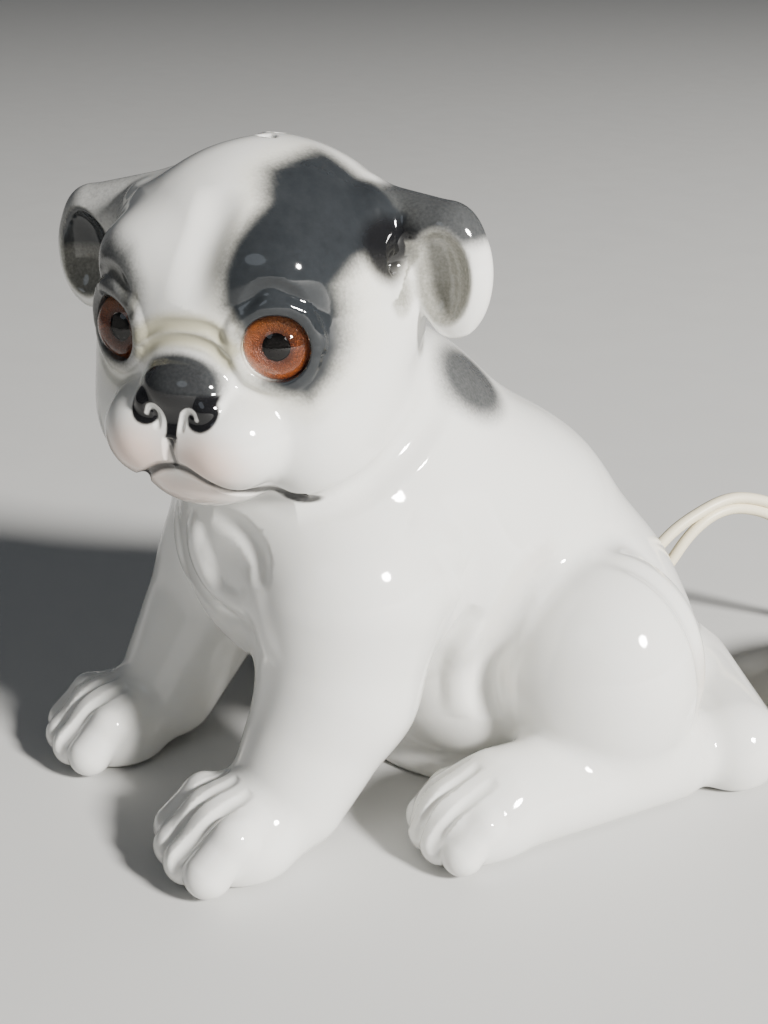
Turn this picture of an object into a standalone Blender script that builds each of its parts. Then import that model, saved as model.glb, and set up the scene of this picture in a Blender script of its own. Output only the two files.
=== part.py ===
"""Porcelain puppy night lamp: a hollow slip-cast figure with glass eyes, a lamp holder with a small
bulb in its open underside, and a flat twin flex with a rocker switch, a coil of slack and a plug.

The figure stands on z = 0 and looks along -Y, with its left side at +X. The outside of the figure is
drawn as rounded forms that are remeshed into one skin. The hollow is the same forms less the wall.
Lengths are written in millimetres and turned into metres by MM.
"""

from math import cos, pi, radians, sin

import bmesh
import bpy
from mathutils import Matrix, Vector

MM = 0.001

# Driving dimensions, in millimetres.
WALL = 4.5                       # porcelain thickness
FLOOR_Y = -66.5                  # from the middle of the front paws to the middle of the figure's box
HEAD = Vector((0, 31, 120))      # middle of the skull, measured from the front paws
HEAD_TURN = radians(40)          # the head looks towards the figure's left
EYE_SIDE, EYE_FORE, EYE_UP = 18.9, 31.2, 0.5
EYE_OUT = radians(21)            # each eye looks this far out from the head's own direction
EYE_R = 7.0
PUPIL_R = 3.5
VENT_R, VENT_RING = 1.6, 3.6     # the warm-air holes in the crown
BASE_HOLE_R = 23.0               # opening in the underside
LAMP_Y = 84.0                    # the lamp holder's axis, from the front paws
FLEX_W = 6.4                     # flat twin flex across its width
STRAND_R = FLEX_W / 4
ENTRY_R = 4.2                    # where the flex goes into the switch and the plug
GAP = 0.3
COIL = Vector((64, 192, 0))      # middle of the coil of slack
COIL_R = 36.0                    # middle of its turns
COIL_TURNS_ACROSS, COIL_LAYERS = 3, 2
COIL_FOOT = 1.3                  # the tie under the coil lifts it this far
TIE_T = 0.8
SWITCH_L, SWITCH_W, SWITCH_H = 44.0, 22.0, 16.0
SWITCH_AT = Vector((33.4, 235.7, 0.3))
SWITCH_TURN = radians(35)
ROCKER_TILT = radians(9)
PLUG_L, PLUG_W, PLUG_H = 34.0, 34.0, 14.0
PIN_R, PIN_OUT, PIN_SPACE = 2.0, 19.0, 18.5

# The cord's route where it isn't coiled, from the hole in the back to the switch.
ROUTE_TO_SWITCH = [
    (0, 143.2, 36.3), (0, 149.2, 42.3), (0, 155.5, 46.3), (0, 162, 48.6), (0, 169, 48.6),
    (0, 178.6, 45.4), (0.4, 187, 39.8), (1.4, 194.5, 32.2), (3, 201.5, 23.6), (5.4, 208.2, 15.9),
    (8.8, 214.6, 10.6), (13.2, 220.4, 8.6), (18.2, 225.1, 8.3),
]
ROUTE_TO_COIL = [
    (48.6, 246.3, 8.3), (56, 251, 7.6), (65, 255, 6), (75, 256.6, 4.9), (85.5, 254.8, 4.6),
    (95, 249.2, 4.6), (102.4, 240.4, 4.6), (107, 229, 4.6), (109, 216, 4.6), (109, 204, 4.6),
    (108.8, 194, 4.6),
]


# ---------------------------------------------------------------- helpers

def clear_scene():
    for obj in list(bpy.data.objects):
        bpy.data.objects.remove(obj, do_unlink=True)


def new_collection(name, hidden=False):
    made = bpy.data.collections.new(name)
    bpy.context.scene.collection.children.link(made)
    made.hide_render = hidden
    return made


def material(name, colour, roughness, metallic=0.0, transmission=0.0):
    made = bpy.data.materials.new(name)
    made.use_nodes = True
    shader = made.node_tree.nodes["Principled BSDF"]
    shader.inputs["Base Color"].default_value = (*colour, 1.0)
    shader.inputs["Roughness"].default_value = roughness
    shader.inputs["Metallic"].default_value = metallic
    shader.inputs["Transmission Weight"].default_value = transmission
    made.diffuse_color = (*colour, 1.0)
    return made


def world(x, y, z):
    """A place measured from the front paws, in metres in the figure's own frame."""
    return Vector((x, y + FLOOR_Y, z)) * MM


def head(side, fore, up):
    """A place on the head: towards its left, the way it looks, and up, from the skull's middle."""
    left = Vector((cos(HEAD_TURN), sin(HEAD_TURN), 0))
    ahead = Vector((sin(HEAD_TURN), -cos(HEAD_TURN), 0))
    return HEAD + side * left + fore * ahead + Vector((0, 0, up))


def add_object(name, data, collection, mat=None, location=(0, 0, 0), rotation=None):
    obj = bpy.data.objects.new(name, data)
    collection.objects.link(obj)
    obj.location = location
    if rotation is not None:
        obj.rotation_euler = rotation
    if mat:
        data.materials.append(mat)
    return obj


def as_cutter(obj):
    obj.hide_render = True
    obj.display_type = "WIRE"
    return obj


def facing(direction):
    """The rotation that turns +Z to this direction."""
    return Vector(direction).to_track_quat("Z", "Y").to_euler()


def mesh_from(bm, name):
    mesh = bpy.data.meshes.new(name)
    bm.to_mesh(mesh)
    bm.free()
    return mesh


def lathe(name, profile, collection, mat=None, location=(0, 0, 0), rotation=None, steps=28, ring=False):
    """Turns (radius, height) points in millimetres about Z. They run down the outside; a ring's also
    come back up its inside."""
    mesh = bpy.data.meshes.new(name)
    count = len(profile)
    edges = [(i, i + 1) for i in range(count - 1)] + ([(count - 1, 0)] if ring else [])
    mesh.from_pydata([(r * MM, 0, z * MM) for r, z in profile], edges, [])
    obj = add_object(name, mesh, collection, mat, location, rotation)
    turn = obj.modifiers.new("turn", "SCREW")
    turn.steps = turn.render_steps = steps
    turn.use_merge_vertices = True
    turn.merge_threshold = 0.00001
    turn.use_smooth_shade = True
    return obj


def block(name, size, collection, mat=None, location=(0, 0, 0), rotation=None, bevel=0.0, segments=2):
    """A box of this size in millimetres, standing on its location."""
    bm = bmesh.new()
    bmesh.ops.create_cube(bm, size=1)
    to_size = Matrix.Diagonal((size[0] * MM, size[1] * MM, size[2] * MM, 1))
    bmesh.ops.transform(bm, matrix=Matrix.Translation((0, 0, size[2] * MM / 2)) @ to_size, verts=bm.verts)
    obj = add_object(name, mesh_from(bm, name), collection, mat, location, rotation)
    if bevel:
        edge = obj.modifiers.new("edge", "BEVEL")
        edge.width = bevel * MM
        edge.segments = segments
    return obj


def rod(name, start, end, radius, collection, mat=None, sides=20):
    """A straight round bar between two places given in metres; the radius is in millimetres."""
    along = Vector(end) - Vector(start)
    bm = bmesh.new()
    bmesh.ops.create_cone(bm, cap_ends=True, segments=sides, radius1=radius * MM,
                          radius2=radius * MM, depth=along.length)
    middle = (Vector(start) + Vector(end)) / 2
    return add_object(name, mesh_from(bm, name), collection, mat, middle, facing(along))


def smooth_points(route, spacing, steps=24):
    """Points about `spacing` millimetres apart on a smooth curve through the route's own points."""
    ends = [2 * route[0] - route[1], *route, 2 * route[-1] - route[-2]]
    fine = [route[0]]
    for a, b, c, d in zip(ends, ends[1:], ends[2:], ends[3:]):
        for i in range(1, steps + 1):
            t = i / steps
            fine.append(0.5 * (2 * b + (c - a) * t + (2 * a - 5 * b + 4 * c - d) * t * t
                               + (3 * b - a - 3 * c + d) * t ** 3))
    length = sum((q - p).length for p, q in zip(fine, fine[1:]))
    parts = max(2, round(length / spacing))
    made, walked, due = [fine[0]], 0.0, length / parts
    for p, q in zip(fine, fine[1:]):
        walked += (q - p).length
        if walked >= due - 1e-6 and len(made) < parts:
            made.append(q)
            due += length / parts
    return [*made, fine[-1]]


def tube(name, route, radius, collection, mat, spacing):
    """A round tube along a smooth curve through the route, in millimetres from the front paws."""
    points = smooth_points([Vector(p) for p in route], spacing)
    curve = bpy.data.curves.new(name, "CURVE")
    curve.dimensions = "3D"
    curve.bevel_depth = radius * MM
    curve.bevel_resolution = 2
    curve.use_fill_caps = True
    line = curve.splines.new("POLY")
    line.points.add(len(points) - 1)
    for point, place in zip(line.points, points):
        point.co = (*world(*place), 1)
    return add_object(name, curve, collection, mat)


def plate(name, outline, thickness, collection, mat=None, location=(0, 0, 0), rotation=None):
    """A flat piece from an outline in millimetres, its thickness centred on the outline's plane."""
    curve = bpy.data.curves.new(name, "CURVE")
    curve.dimensions = "2D"
    curve.fill_mode = "BOTH"
    curve.extrude = thickness * MM / 2
    line = curve.splines.new("POLY")
    line.points.add(len(outline) - 1)
    for point, (x, y) in zip(line.points, outline):
        point.co = (x * MM, y * MM, 0, 1)
    line.use_cyclic_u = True
    return to_mesh(add_object(name, curve, collection, mat, location, rotation))


def to_mesh(obj):
    """Replaces a curve object by a closed mesh object of the same name, ready for Booleans."""
    graph = bpy.context.evaluated_depsgraph_get()
    mesh = bpy.data.meshes.new_from_object(obj.evaluated_get(graph))
    bm = bmesh.new()
    bm.from_mesh(mesh)
    bmesh.ops.remove_doubles(bm, verts=bm.verts, dist=0.00001)
    bmesh.ops.recalc_face_normals(bm, faces=bm.faces)
    bm.to_mesh(mesh)
    bm.free()
    made = bpy.data.objects.new(obj.name, mesh)
    obj.users_collection[0].objects.link(made)
    made.matrix_world = obj.matrix_world.copy()
    name = obj.name
    bpy.data.objects.remove(obj, do_unlink=True)
    made.name = name
    return made


def boolean(obj, cutter, operation="DIFFERENCE"):
    cut = obj.modifiers.new(cutter.name, "BOOLEAN")
    cut.operation = operation
    cut.solver = "EXACT"
    cut.object = cutter
    return cut


# ---------------------------------------------------------------- the figure

def add_ball(bm, middle, radii, turn=0.0, cut=(20, 14)):
    """A round or stretched ball, in millimetres from the front paws."""
    place = Matrix.Translation(world(*middle)) @ Matrix.Rotation(turn, 4, "Z")
    stretch = Matrix.Diagonal((*(r * MM for r in radii), 1))
    bmesh.ops.create_uvsphere(bm, u_segments=cut[0], v_segments=cut[1], radius=1, matrix=place @ stretch)


def add_limb(bm, start, r1, end, r2):
    """Two balls and the cone between them."""
    start, end = Vector(start), Vector(end)
    add_ball(bm, start, (r1, r1, r1))
    add_ball(bm, end, (r2, r2, r2))
    along = end - start
    lean = (r1 - r2) / along.length
    flat = (1 - lean * lean) ** 0.5
    low, high = start + along * (r1 * lean / along.length), end + along * (r2 * lean / along.length)
    turn = along.to_track_quat("Z", "Y").to_matrix().to_4x4()
    place = Matrix.Translation(world(*((low + high) / 2))) @ turn
    bmesh.ops.create_cone(bm, cap_ends=True, segments=20, radius1=r1 * flat * MM, radius2=r2 * flat * MM,
                          depth=(high - low).length * MM, matrix=place)


def trunk_forms(bm, less=0.0):
    """The body and head without legs, ears, tail and muzzle; `less` shrinks every form for the hollow."""
    def radii(*values):
        return [value - less for value in values]

    add_ball(bm, (1, 46, 66), radii(37, 38, 40))
    add_limb(bm, (2, 38, 98), 28 - less, (0, 53, 79), 34 - less)
    add_limb(bm, (0, 53, 77), 35 - less, (0, 84, 51), 37 - less)
    add_limb(bm, (0, 84, 51), 37 - less, (0, 110, 30), 30 - less)
    add_ball(bm, (0, 108, 30), radii(42, 31, 30))
    add_ball(bm, (0, 120, 14), radii(41, 28.5, 26))
    add_ball(bm, (2, 80, 22), radii(36, 29, 24))
    add_ball(bm, (0, 94, -4), radii(38, 41, 30))
    add_ball(bm, head(0, 2, 2), radii(37, 36, 36.5), HEAD_TURN)


def leg_forms(bm):
    add_limb(bm, (28, 38, 60), 23, (30.5, 34, 37), 18)
    add_limb(bm, (30.5, 34, 37), 18, (33, 20, 14), 14)
    add_ball(bm, (34.5, 7, 8), (15.5, 15, 12.5))
    add_ball(bm, (35, -3.5, 6.5), (14.5, 9, 6.5))
    add_limb(bm, (-28, 37, 60), 22, (-28, 29, 47), 17.5)
    add_limb(bm, (-28, 29, 47), 17.5, (-27, 10, 14), 13)
    add_ball(bm, (-26, -4, 8), (14.5, 14, 12.5))
    add_ball(bm, (-26, -13.8, 6.5), (13.8, 9, 6.5))
    for side in (1, -1):
        add_ball(bm, (side * 40, 99, 31), (25, 25, 30))
        add_limb(bm, (side * 50, 112, 10), 12, (side * 52, 66, 10), 12.5)
        add_ball(bm, (side * 52, 58, 8), (13.5, 14, 11))
        add_ball(bm, (side * 52.5, 49, 6), (12.5, 8.5, 6))
    add_limb(bm, (15, 141, 8), 15, (52, 131, 9), 12.5)


def face_forms(bm):
    for side, out, fore, up in ((1, 44.5, -2, 11), (-1, 46.6, 1, 8.5)):
        add_ball(bm, head(side * 17, 10, -14), (19, 21, 20), HEAD_TURN)
        add_ball(bm, head(side * 19.5, 16, -23), (13, 16, 13), HEAD_TURN)
        add_ball(bm, head(side * 9, 33.5, -20), (11.8, 11.5, 11), HEAD_TURN)
        add_limb(bm, head(side * 23, fore - 2, 21), 8, head(side * (out - 2.5), fore, up + 9), 6.6)
        add_ball(bm, head(side * out, fore, up), (8.4, 6.5, 14), HEAD_TURN)
    add_ball(bm, head(0, 25, -19), (21, 19, 14), HEAD_TURN)
    add_ball(bm, head(0, 27.5, -28.5), (15.5, 13, 9), HEAD_TURN)
    add_ball(bm, head(0.5, 37.5, -10), (10, 8, 7), HEAD_TURN)


def skin(obj, voxel, keep, smoothing):
    """Makes overlapping forms one smooth closed surface."""
    remesh = obj.modifiers.new("one_skin", "REMESH")
    remesh.mode = "VOXEL"
    remesh.voxel_size = voxel * MM
    soften = obj.modifiers.new("soften", "SMOOTH")
    soften.factor = 0.5
    soften.iterations = smoothing
    thin = obj.modifiers.new("fewer_faces", "DECIMATE")
    thin.ratio = keep


def eye_frame(side):
    """Where an eye's middle lies on the skin, in metres, and the way it looks."""
    middle = world(*head(side * EYE_SIDE, EYE_FORE, EYE_UP))
    turn = HEAD_TURN + side * EYE_OUT
    return middle, Vector((sin(turn), -cos(turn), 0))


def figure_cutters(cutters):
    """Everything that is taken out of the porcelain, the hollow first."""
    made = []
    bm = bmesh.new()
    trunk_forms(bm, WALL)
    hollow = add_object("hollow", mesh_from(bm, "hollow"), cutters)
    skin(hollow, 3.0, 0.1, 3)
    under = block("hollow_floor", (240, 240, 60), cutters, location=(0, 0, (WALL - 60) * MM))
    boolean(hollow, as_cutter(under))
    made.append(hollow)
    made.append(lathe("base_hole", [(0, 20), (BASE_HOLE_R, 20), (BASE_HOLE_R, -5), (0, -5)], cutters,
                      location=world(0, LAMP_Y, 0), steps=40))
    for name, side in (("left", 1), ("right", -1)):
        middle, ahead = eye_frame(side)
        socket = [(0, 9), (EYE_R + GAP, 9), (EYE_R + GAP, -5.6), (0, -5.6)]
        made.append(lathe(f"socket_{name}", socket, cutters, location=middle, rotation=facing(ahead)))
    for i in range(3):
        turn = HEAD_TURN + i * 2 * pi / 3
        side, fore = VENT_RING * sin(turn), VENT_RING * cos(turn)
        top = world(*head(side, fore, 42))
        made.append(rod(f"vent_{i + 1}", top - Vector((0, 0, 16)) * MM, top, VENT_R, cutters, sides=12))
    made.append(rod("flex_hole", world(0, 128, 20.5), world(0, 149.5, 43.5), 5.2, cutters))
    return [as_cutter(obj) for obj in made]


def porcelain_figure(parts, cutters):
    bm = bmesh.new()
    trunk_forms(bm)
    leg_forms(bm)
    face_forms(bm)
    glaze = material("white_glazed_porcelain", (0.86, 0.86, 0.83), 0.12)
    body = add_object("porcelain_body", mesh_from(bm, "porcelain_body"), parts, glaze)
    skin(body, 2.0, 0.075, 4)
    boolean(body, as_cutter(block("table", (400, 400, 60), cutters, location=(0, 0, -60 * MM))))
    for cutter in figure_cutters(cutters):
        boolean(body, cutter)


def glass_eye(name, side, parts):
    middle, ahead = eye_frame(side)
    turned = facing(ahead)
    clear = material(f"{name}_clear_glass", (1.0, 1.0, 1.0), 0.02, transmission=1.0)
    amber = material(f"{name}_amber", (0.55, 0.16, 0.02), 0.25)
    black = material(f"{name}_black", (0.01, 0.01, 0.01), 0.2)
    putty = material(f"{name}_putty", (0.7, 0.68, 0.6), 0.9)
    rise, steps = 4.4, 6
    bulge = (EYE_R ** 2 + rise ** 2) / (2 * rise)
    reach = [i / steps * EYE_R for i in range(steps + 1)]
    dome = [(r, (bulge ** 2 - r * r) ** 0.5 - bulge + rise) for r in reach]
    lathe(f"{name}_glass", [*dome, (EYE_R, -0.9), (0, -0.9)], parts, clear, middle, turned)
    ring = [(EYE_R - 0.2, -1.2), (EYE_R - 0.2, -2.1), (PUPIL_R + 0.2, -2.1), (PUPIL_R + 0.2, -1.2)]
    lathe(f"{name}_iris", ring, parts, amber, middle, turned, ring=True)
    lathe(f"{name}_pupil", [(0, -1.2), (PUPIL_R - 0.1, -1.2), (PUPIL_R - 0.1, -2.1), (0, -2.1)],
          parts, black, middle, turned)
    lathe(f"{name}_putty", [(0, -2.4), (EYE_R, -2.4), (EYE_R - 0.6, -5.2), (0, -5.2)],
          parts, putty, middle, turned)


# ---------------------------------------------------------------- lamp holder and bulb

def lamp_holder(parts, cutters):
    axis = world(0, LAMP_Y, 0)
    steel = material("spring_steel", (0.5, 0.5, 0.52), 0.35, 1.0)
    brass = material("brass", (0.75, 0.55, 0.25), 0.3, 1.0)
    bakelite = material("brown_bakelite", (0.05, 0.03, 0.02), 0.3)
    ceramic = material("white_ceramic_insert", (0.85, 0.84, 0.8), 0.5)

    strap = block("mounting_strap", (50, 13, 1.2), parts, steel, axis + Vector((0, 0, WALL + GAP)) * MM)
    for x in (-1, 1):
        tongue = block(f"strap_tongue_{x + 1}", (1, 8, 4.6), cutters,
                       location=axis + Vector((x * (BASE_HOLE_R - 1.2), 0, 0.9)) * MM)
        boolean(strap, as_cutter(tongue), "UNION")
    boolean(strap, as_cutter(lathe("strap_hole", [(0, 9), (5.2, 9), (5.2, 1), (0, 1)], cutters,
                                   location=axis)))
    lathe("threaded_nipple", [(4.8, 11.5), (4.8, 1.2), (3.4, 1.2), (3.4, 11.5)], parts, brass, axis,
          ring=True)
    thread = as_cutter(rod("nut_thread", axis, axis + Vector((0, 0, 14)) * MM, 5.1, cutters))
    for name, low, size in (("lock_nut_lower", 1.8, 8.1), ("lock_nut_upper", 8.7, 7.5)):
        foot = axis + Vector((0, 0, low)) * MM
        nut = rod(name, foot, foot + Vector((0, 0, 2.4)) * MM, size, parts, brass, sides=6)
        boolean(nut, thread)
    cap = lathe("holder_base_cap", [(13.5, 16), (13.5, 10), (11.5, 6.3), (5.1, 6.3), (5.1, 8.4),
                                    (10.6, 8.4), (12, 10.8), (12, 16)], parts, bakelite, axis, ring=True)
    for x in (-1, 1):
        start = axis + Vector((x * 4.2, 6, 13)) * MM
        boolean(cap, as_cutter(rod(f"lead_hole_{x + 1}", start, start + Vector((0, 12, 0)) * MM,
                                   STRAND_R + GAP, cutters, sides=12)))
    lathe("holder_sleeve", [(13.5, 37), (13.5, 16.3), (12, 16.3), (12, 34.6), (8.7, 35.4), (8.7, 37)],
          parts, bakelite, axis, ring=True)
    lathe("contact_insert", [(11.6, 20.5), (11.6, 15.2), (2.3, 15.2), (2.3, 17.2), (8.4, 17.2),
                             (8.4, 20.5)], parts, ceramic, axis, ring=True)
    lathe("screw_shell", [(7.9, 34.6), (7.9, 17.6), (7.3, 17.6), (7.3, 34.6)], parts, brass, axis,
          ring=True)
    lathe("centre_contact", [(0, 19.6), (3, 18.6), (3, 17.6), (1.9, 17.5), (1.9, 14), (0, 14)], parts,
          brass, axis, steps=16)
    for name, x in (("left", 1), ("right", -1)):
        place = axis + Vector((x * 9.2, 0, 11.6)) * MM
        block(f"terminal_{name}", (3.6, 5, 3.2), parts, brass, place, bevel=0.3, segments=1)
        screw = place + Vector((0, -2.8, 1.6)) * MM
        rod(f"terminal_screw_{name}", screw, screw - Vector((0, 1.6, 0)) * MM, 1.2, parts, steel, 12)


def lamp_bulb(parts):
    """The bulb hangs under an empty on the holder's axis, along which it comes out."""
    axis = world(0, LAMP_Y, 0)
    hub = bpy.data.objects.new("bulb_axis", None)
    hub.empty_display_size = 0.01
    hub.location = axis
    parts.objects.link(hub)
    glass = material("bulb_glass", (1.0, 1.0, 1.0), 0.03, transmission=1.0)
    alloy = material("bulb_cap_alloy", (0.8, 0.78, 0.72), 0.3, 1.0)
    vitrite = material("black_vitrite", (0.01, 0.01, 0.015), 0.15)
    tungsten = material("tungsten", (0.2, 0.19, 0.18), 0.4, 1.0)

    neck, belly, low, high, top, steps = 5.5, 10.0, 40.0, 46.0, 65.0, 6
    swell = [(neck + (belly - neck) * (1 - cos(pi * i / 4)) / 2, low + (high - low) * i / 4)
             for i in range(4, -1, -1)]
    dome = [(belly * sin(pi / 2 * i / steps), top - belly + belly * cos(pi / 2 * i / steps))
            for i in range(steps + 1)]
    outer = [*dome, *swell, (neck, 27.5)]
    inner = [(max(r - 0.8, 0.0), z) for r, z in reversed(outer[1:])] + [(0, top - 0.8)]
    inner = [(r, min(z, top - 0.8 - 0.4 * r / belly)) for r, z in inner]
    pieces = [
        lathe("bulb_glass", [*outer, *inner], parts, glass, steps=24),
        lathe("bulb_cap", [(6.7, 39), (6.7, 24.2), (5.2, 22.6), (4.8, 23), (6.1, 24.6), (6.1, 39)],
              parts, alloy, steps=24, ring=True),
        lathe("bulb_insulator", [(5.4, 25.6), (5.4, 24.6), (4.2, 23), (3, 21.4), (1.9, 21.4),
                                 (1.9, 25.6)], parts, vitrite, steps=20, ring=True),
        lathe("bulb_tip_contact", [(0, 24.5), (1.5, 24.5), (1.5, 20.8), (1, 20.2), (0, 20)], parts,
              alloy, steps=12),
        lathe("bulb_stem", [(0, 43), (1.4, 42.4), (1.4, 36), (3.9, 29), (3.9, 27.8), (0, 27.8)], parts,
              glass, steps=16),
    ]
    loop = [(-1.8, 0, 43.6), (-2.6, 0, 46), (-5, 0, 52), (-2.6, 0.8, 54.4), (0, 0, 53.2),
            (2.6, -0.8, 54.4), (5, 0, 52), (2.6, 0, 46), (1.8, 0, 43.6)]
    lowest = Vector((0, -FLOOR_Y, 0))
    wire = tube("bulb_filament", [Vector(p) + lowest for p in loop], 0.3, parts, tungsten, 2.2)
    for piece in [*pieces, wire]:
        piece.parent = hub


def inner_leads(parts):
    """The flex's two strands inside the figure, from the hole in the back to the holder."""
    cream = material("cream_pvc_inside", (0.82, 0.76, 0.6), 0.45)
    for name, x, spread in (("left", 1, 1), ("right", -1, -1)):
        route = [(x * 4.2, 94.2, 13), (x * 4.2, 101, 13), (x * 4.2, 110, 13.6), (x * 4, 120, 17),
                 (x * 3, 129, 23.4), (x * 2.2, 136, 29.6), (x * 2.2, 141.4, 34.8)]
        tube(f"inner_lead_{name}", route, STRAND_R, parts, cream, 5.0)


# ---------------------------------------------------------------- cord, switch and plug

def coil_height():
    return COIL_LAYERS * FLEX_W


def cord_and_coil(parts, cutters):
    cream = material("cream_pvc_flex", (0.82, 0.76, 0.6), 0.4)
    tube("flex_to_switch", ROUTE_TO_SWITCH, FLEX_W / 2, parts, cream, 11.0)
    tube("flex_to_coil", ROUTE_TO_COIL, FLEX_W / 2, parts, cream, 13.0)

    half = COIL_TURNS_ACROSS * (FLEX_W / 2 + 0.2) / 2
    low, high = COIL_FOOT, COIL_FOOT + coil_height()
    inside, outside, edge = COIL_R - half, COIL_R + half, 1.4
    section = [(outside - edge, high), (outside, high - edge), (outside, low + edge), (outside - edge, low),
               (inside + edge, low), (inside, low + edge), (inside, high - edge), (inside + edge, high)]
    lathe("flex_coil", section, parts, cream, world(*COIL), steps=48, ring=True)

    grey = material("grey_tie", (0.25, 0.25, 0.26), 0.6)
    turn = radians(-75)
    tie_place = world(*(COIL + COIL_R * Vector((cos(turn), sin(turn), 0))))
    wide, tall = 2 * half + 2 * (GAP + TIE_T), coil_height() + 2 * (GAP + TIE_T)
    spin = Vector((0, 0, turn))
    tie = block("coil_tie", (wide, 5, tall), parts, grey, tie_place + Vector((0, 0, 0.2)) * MM, spin,
                bevel=0.9)
    room = block("tie_inside", (2 * half + 2 * GAP, 9, coil_height() + 2 * GAP), cutters,
                 location=tie_place + Vector((0, 0, COIL_FOOT - GAP)) * MM, rotation=spin)
    boolean(tie, as_cutter(room))

    top = COIL_FOOT + coil_height() + GAP + FLEX_W / 2
    steps = [(200, 36, 0), (188, 36, 0), (176, 35.6, 0.2), (164, 34.6, 0.8), (152, 32.6, 1.7),
             (139, 30.4, 2.8), (124, 28.6, 3.7), (110, 27.6, 4.2)]
    route = [COIL + Vector((r * cos(radians(a)), r * sin(radians(a)), top + rise)) for a, r, rise in steps]
    tube("flex_to_plug", route, FLEX_W / 2, parts, cream, 13.0)


def local_frame(place, turn):
    """The matrix of a small assembly that stands at this place, in millimetres from the front paws."""
    return Matrix.Translation(world(*place)) @ Matrix.Rotation(turn, 4, "Z")


def put(obj, frame):
    obj.matrix_world = frame @ obj.matrix_basis
    return obj


def rocker_switch(parts, cutters):
    frame = local_frame(SWITCH_AT, SWITCH_TURN)
    cream = material("cream_switch", (0.84, 0.8, 0.68), 0.35)
    brown = material("brown_rocker", (0.12, 0.06, 0.03), 0.3)
    brass = material("switch_brass", (0.75, 0.55, 0.25), 0.3, 1.0)
    steel = material("switch_steel", (0.55, 0.55, 0.57), 0.3, 1.0)
    middle, pivot = SWITCH_H / 2, 11.6  # heights of the flex and of the rocker's pin
    inside = (36.0, 18.0)

    def here(x, y, z):
        return Vector((x, y, z)) * MM

    def cutter(obj):
        return as_cutter(put(obj, frame))

    low = put(block("switch_lower_housing", (SWITCH_L, SWITCH_W, middle - GAP / 2), parts, cream,
                    bevel=1.6), frame)
    high = put(block("switch_upper_housing", (SWITCH_L, SWITCH_W, middle - GAP / 2), parts, cream,
                     here(0, 0, middle + GAP / 2), bevel=1.6), frame)
    room = cutter(block("switch_room", (*inside, SWITCH_H - 4.4), cutters, location=here(0, 0, 2.2)))
    entry = cutter(rod("switch_entry", here(-40, 0, middle), here(40, 0, middle), ENTRY_R, cutters))
    window = cutter(block("rocker_window", (16.2, 9.8, 10), cutters, location=here(0, 0, 12)))
    seat = cutter(rod("pivot_seat", here(0, -9.8, pivot), here(0, 9.8, pivot), 1.2, cutters, sides=12))
    for housing in (low, high):
        boolean(housing, room)
        boolean(housing, entry)
    boolean(high, window)
    boolean(high, seat)
    for i, (x, y) in enumerate(((20, 7.6), (-20, -7.6)), 1):
        shaft = cutter(lathe(f"switch_screw_hole_{i}", [(0, 13.6), (1.2, 13.6), (1.2, 2.4), (2.2, 2.4),
                                                        (2.2, -1), (0, -1)], cutters,
                             location=here(x, y, 0), steps=14))
        for housing in (low, high):
            boolean(housing, shaft)
        put(lathe(f"switch_screw_{i}", [(0, 13), (0.9, 13), (0.9, 2.1), (1.9, 2.1), (1.9, 0.7), (0, 0.7)],
                  parts, steel, here(x, y, 0), steps=14), frame)
    put(rod("rocker_pivot_pin", here(0, -9.5, pivot), here(0, 9.5, pivot), 0.9, parts, steel, 12), frame)
    put(block("switch_contact_strip", (22, 4, 0.6), parts, brass, here(0, 0, 6.6)), frame)
    for i, x in enumerate((-12.5, 12.5), 1):
        put(block(f"switch_terminal_{i}", (5, 5, 3.4), parts, brass, here(x, 0, 2.6), bevel=0.3,
                  segments=1), frame)

    outline = [(7.2, 4.6), (0, 3.2), (-7.2, 4.6), (-6.6, 0.6), (-2, -2.4), (2, -2.4), (6.6, 0.6)]
    rocker = plate("switch_rocker", outline, 9.2, parts, brown)
    tilt = Matrix.Rotation(ROCKER_TILT, 4, "Y")
    upright = Matrix.Rotation(pi / 2, 4, "X")
    rocker.matrix_world = frame @ Matrix.Translation(here(0, 0, pivot)) @ tilt @ upright
    bore = cutter(rod("rocker_bore", here(0, -8, pivot), here(0, 8, pivot), 1.2, cutters, sides=12))
    boolean(rocker, bore)


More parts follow.
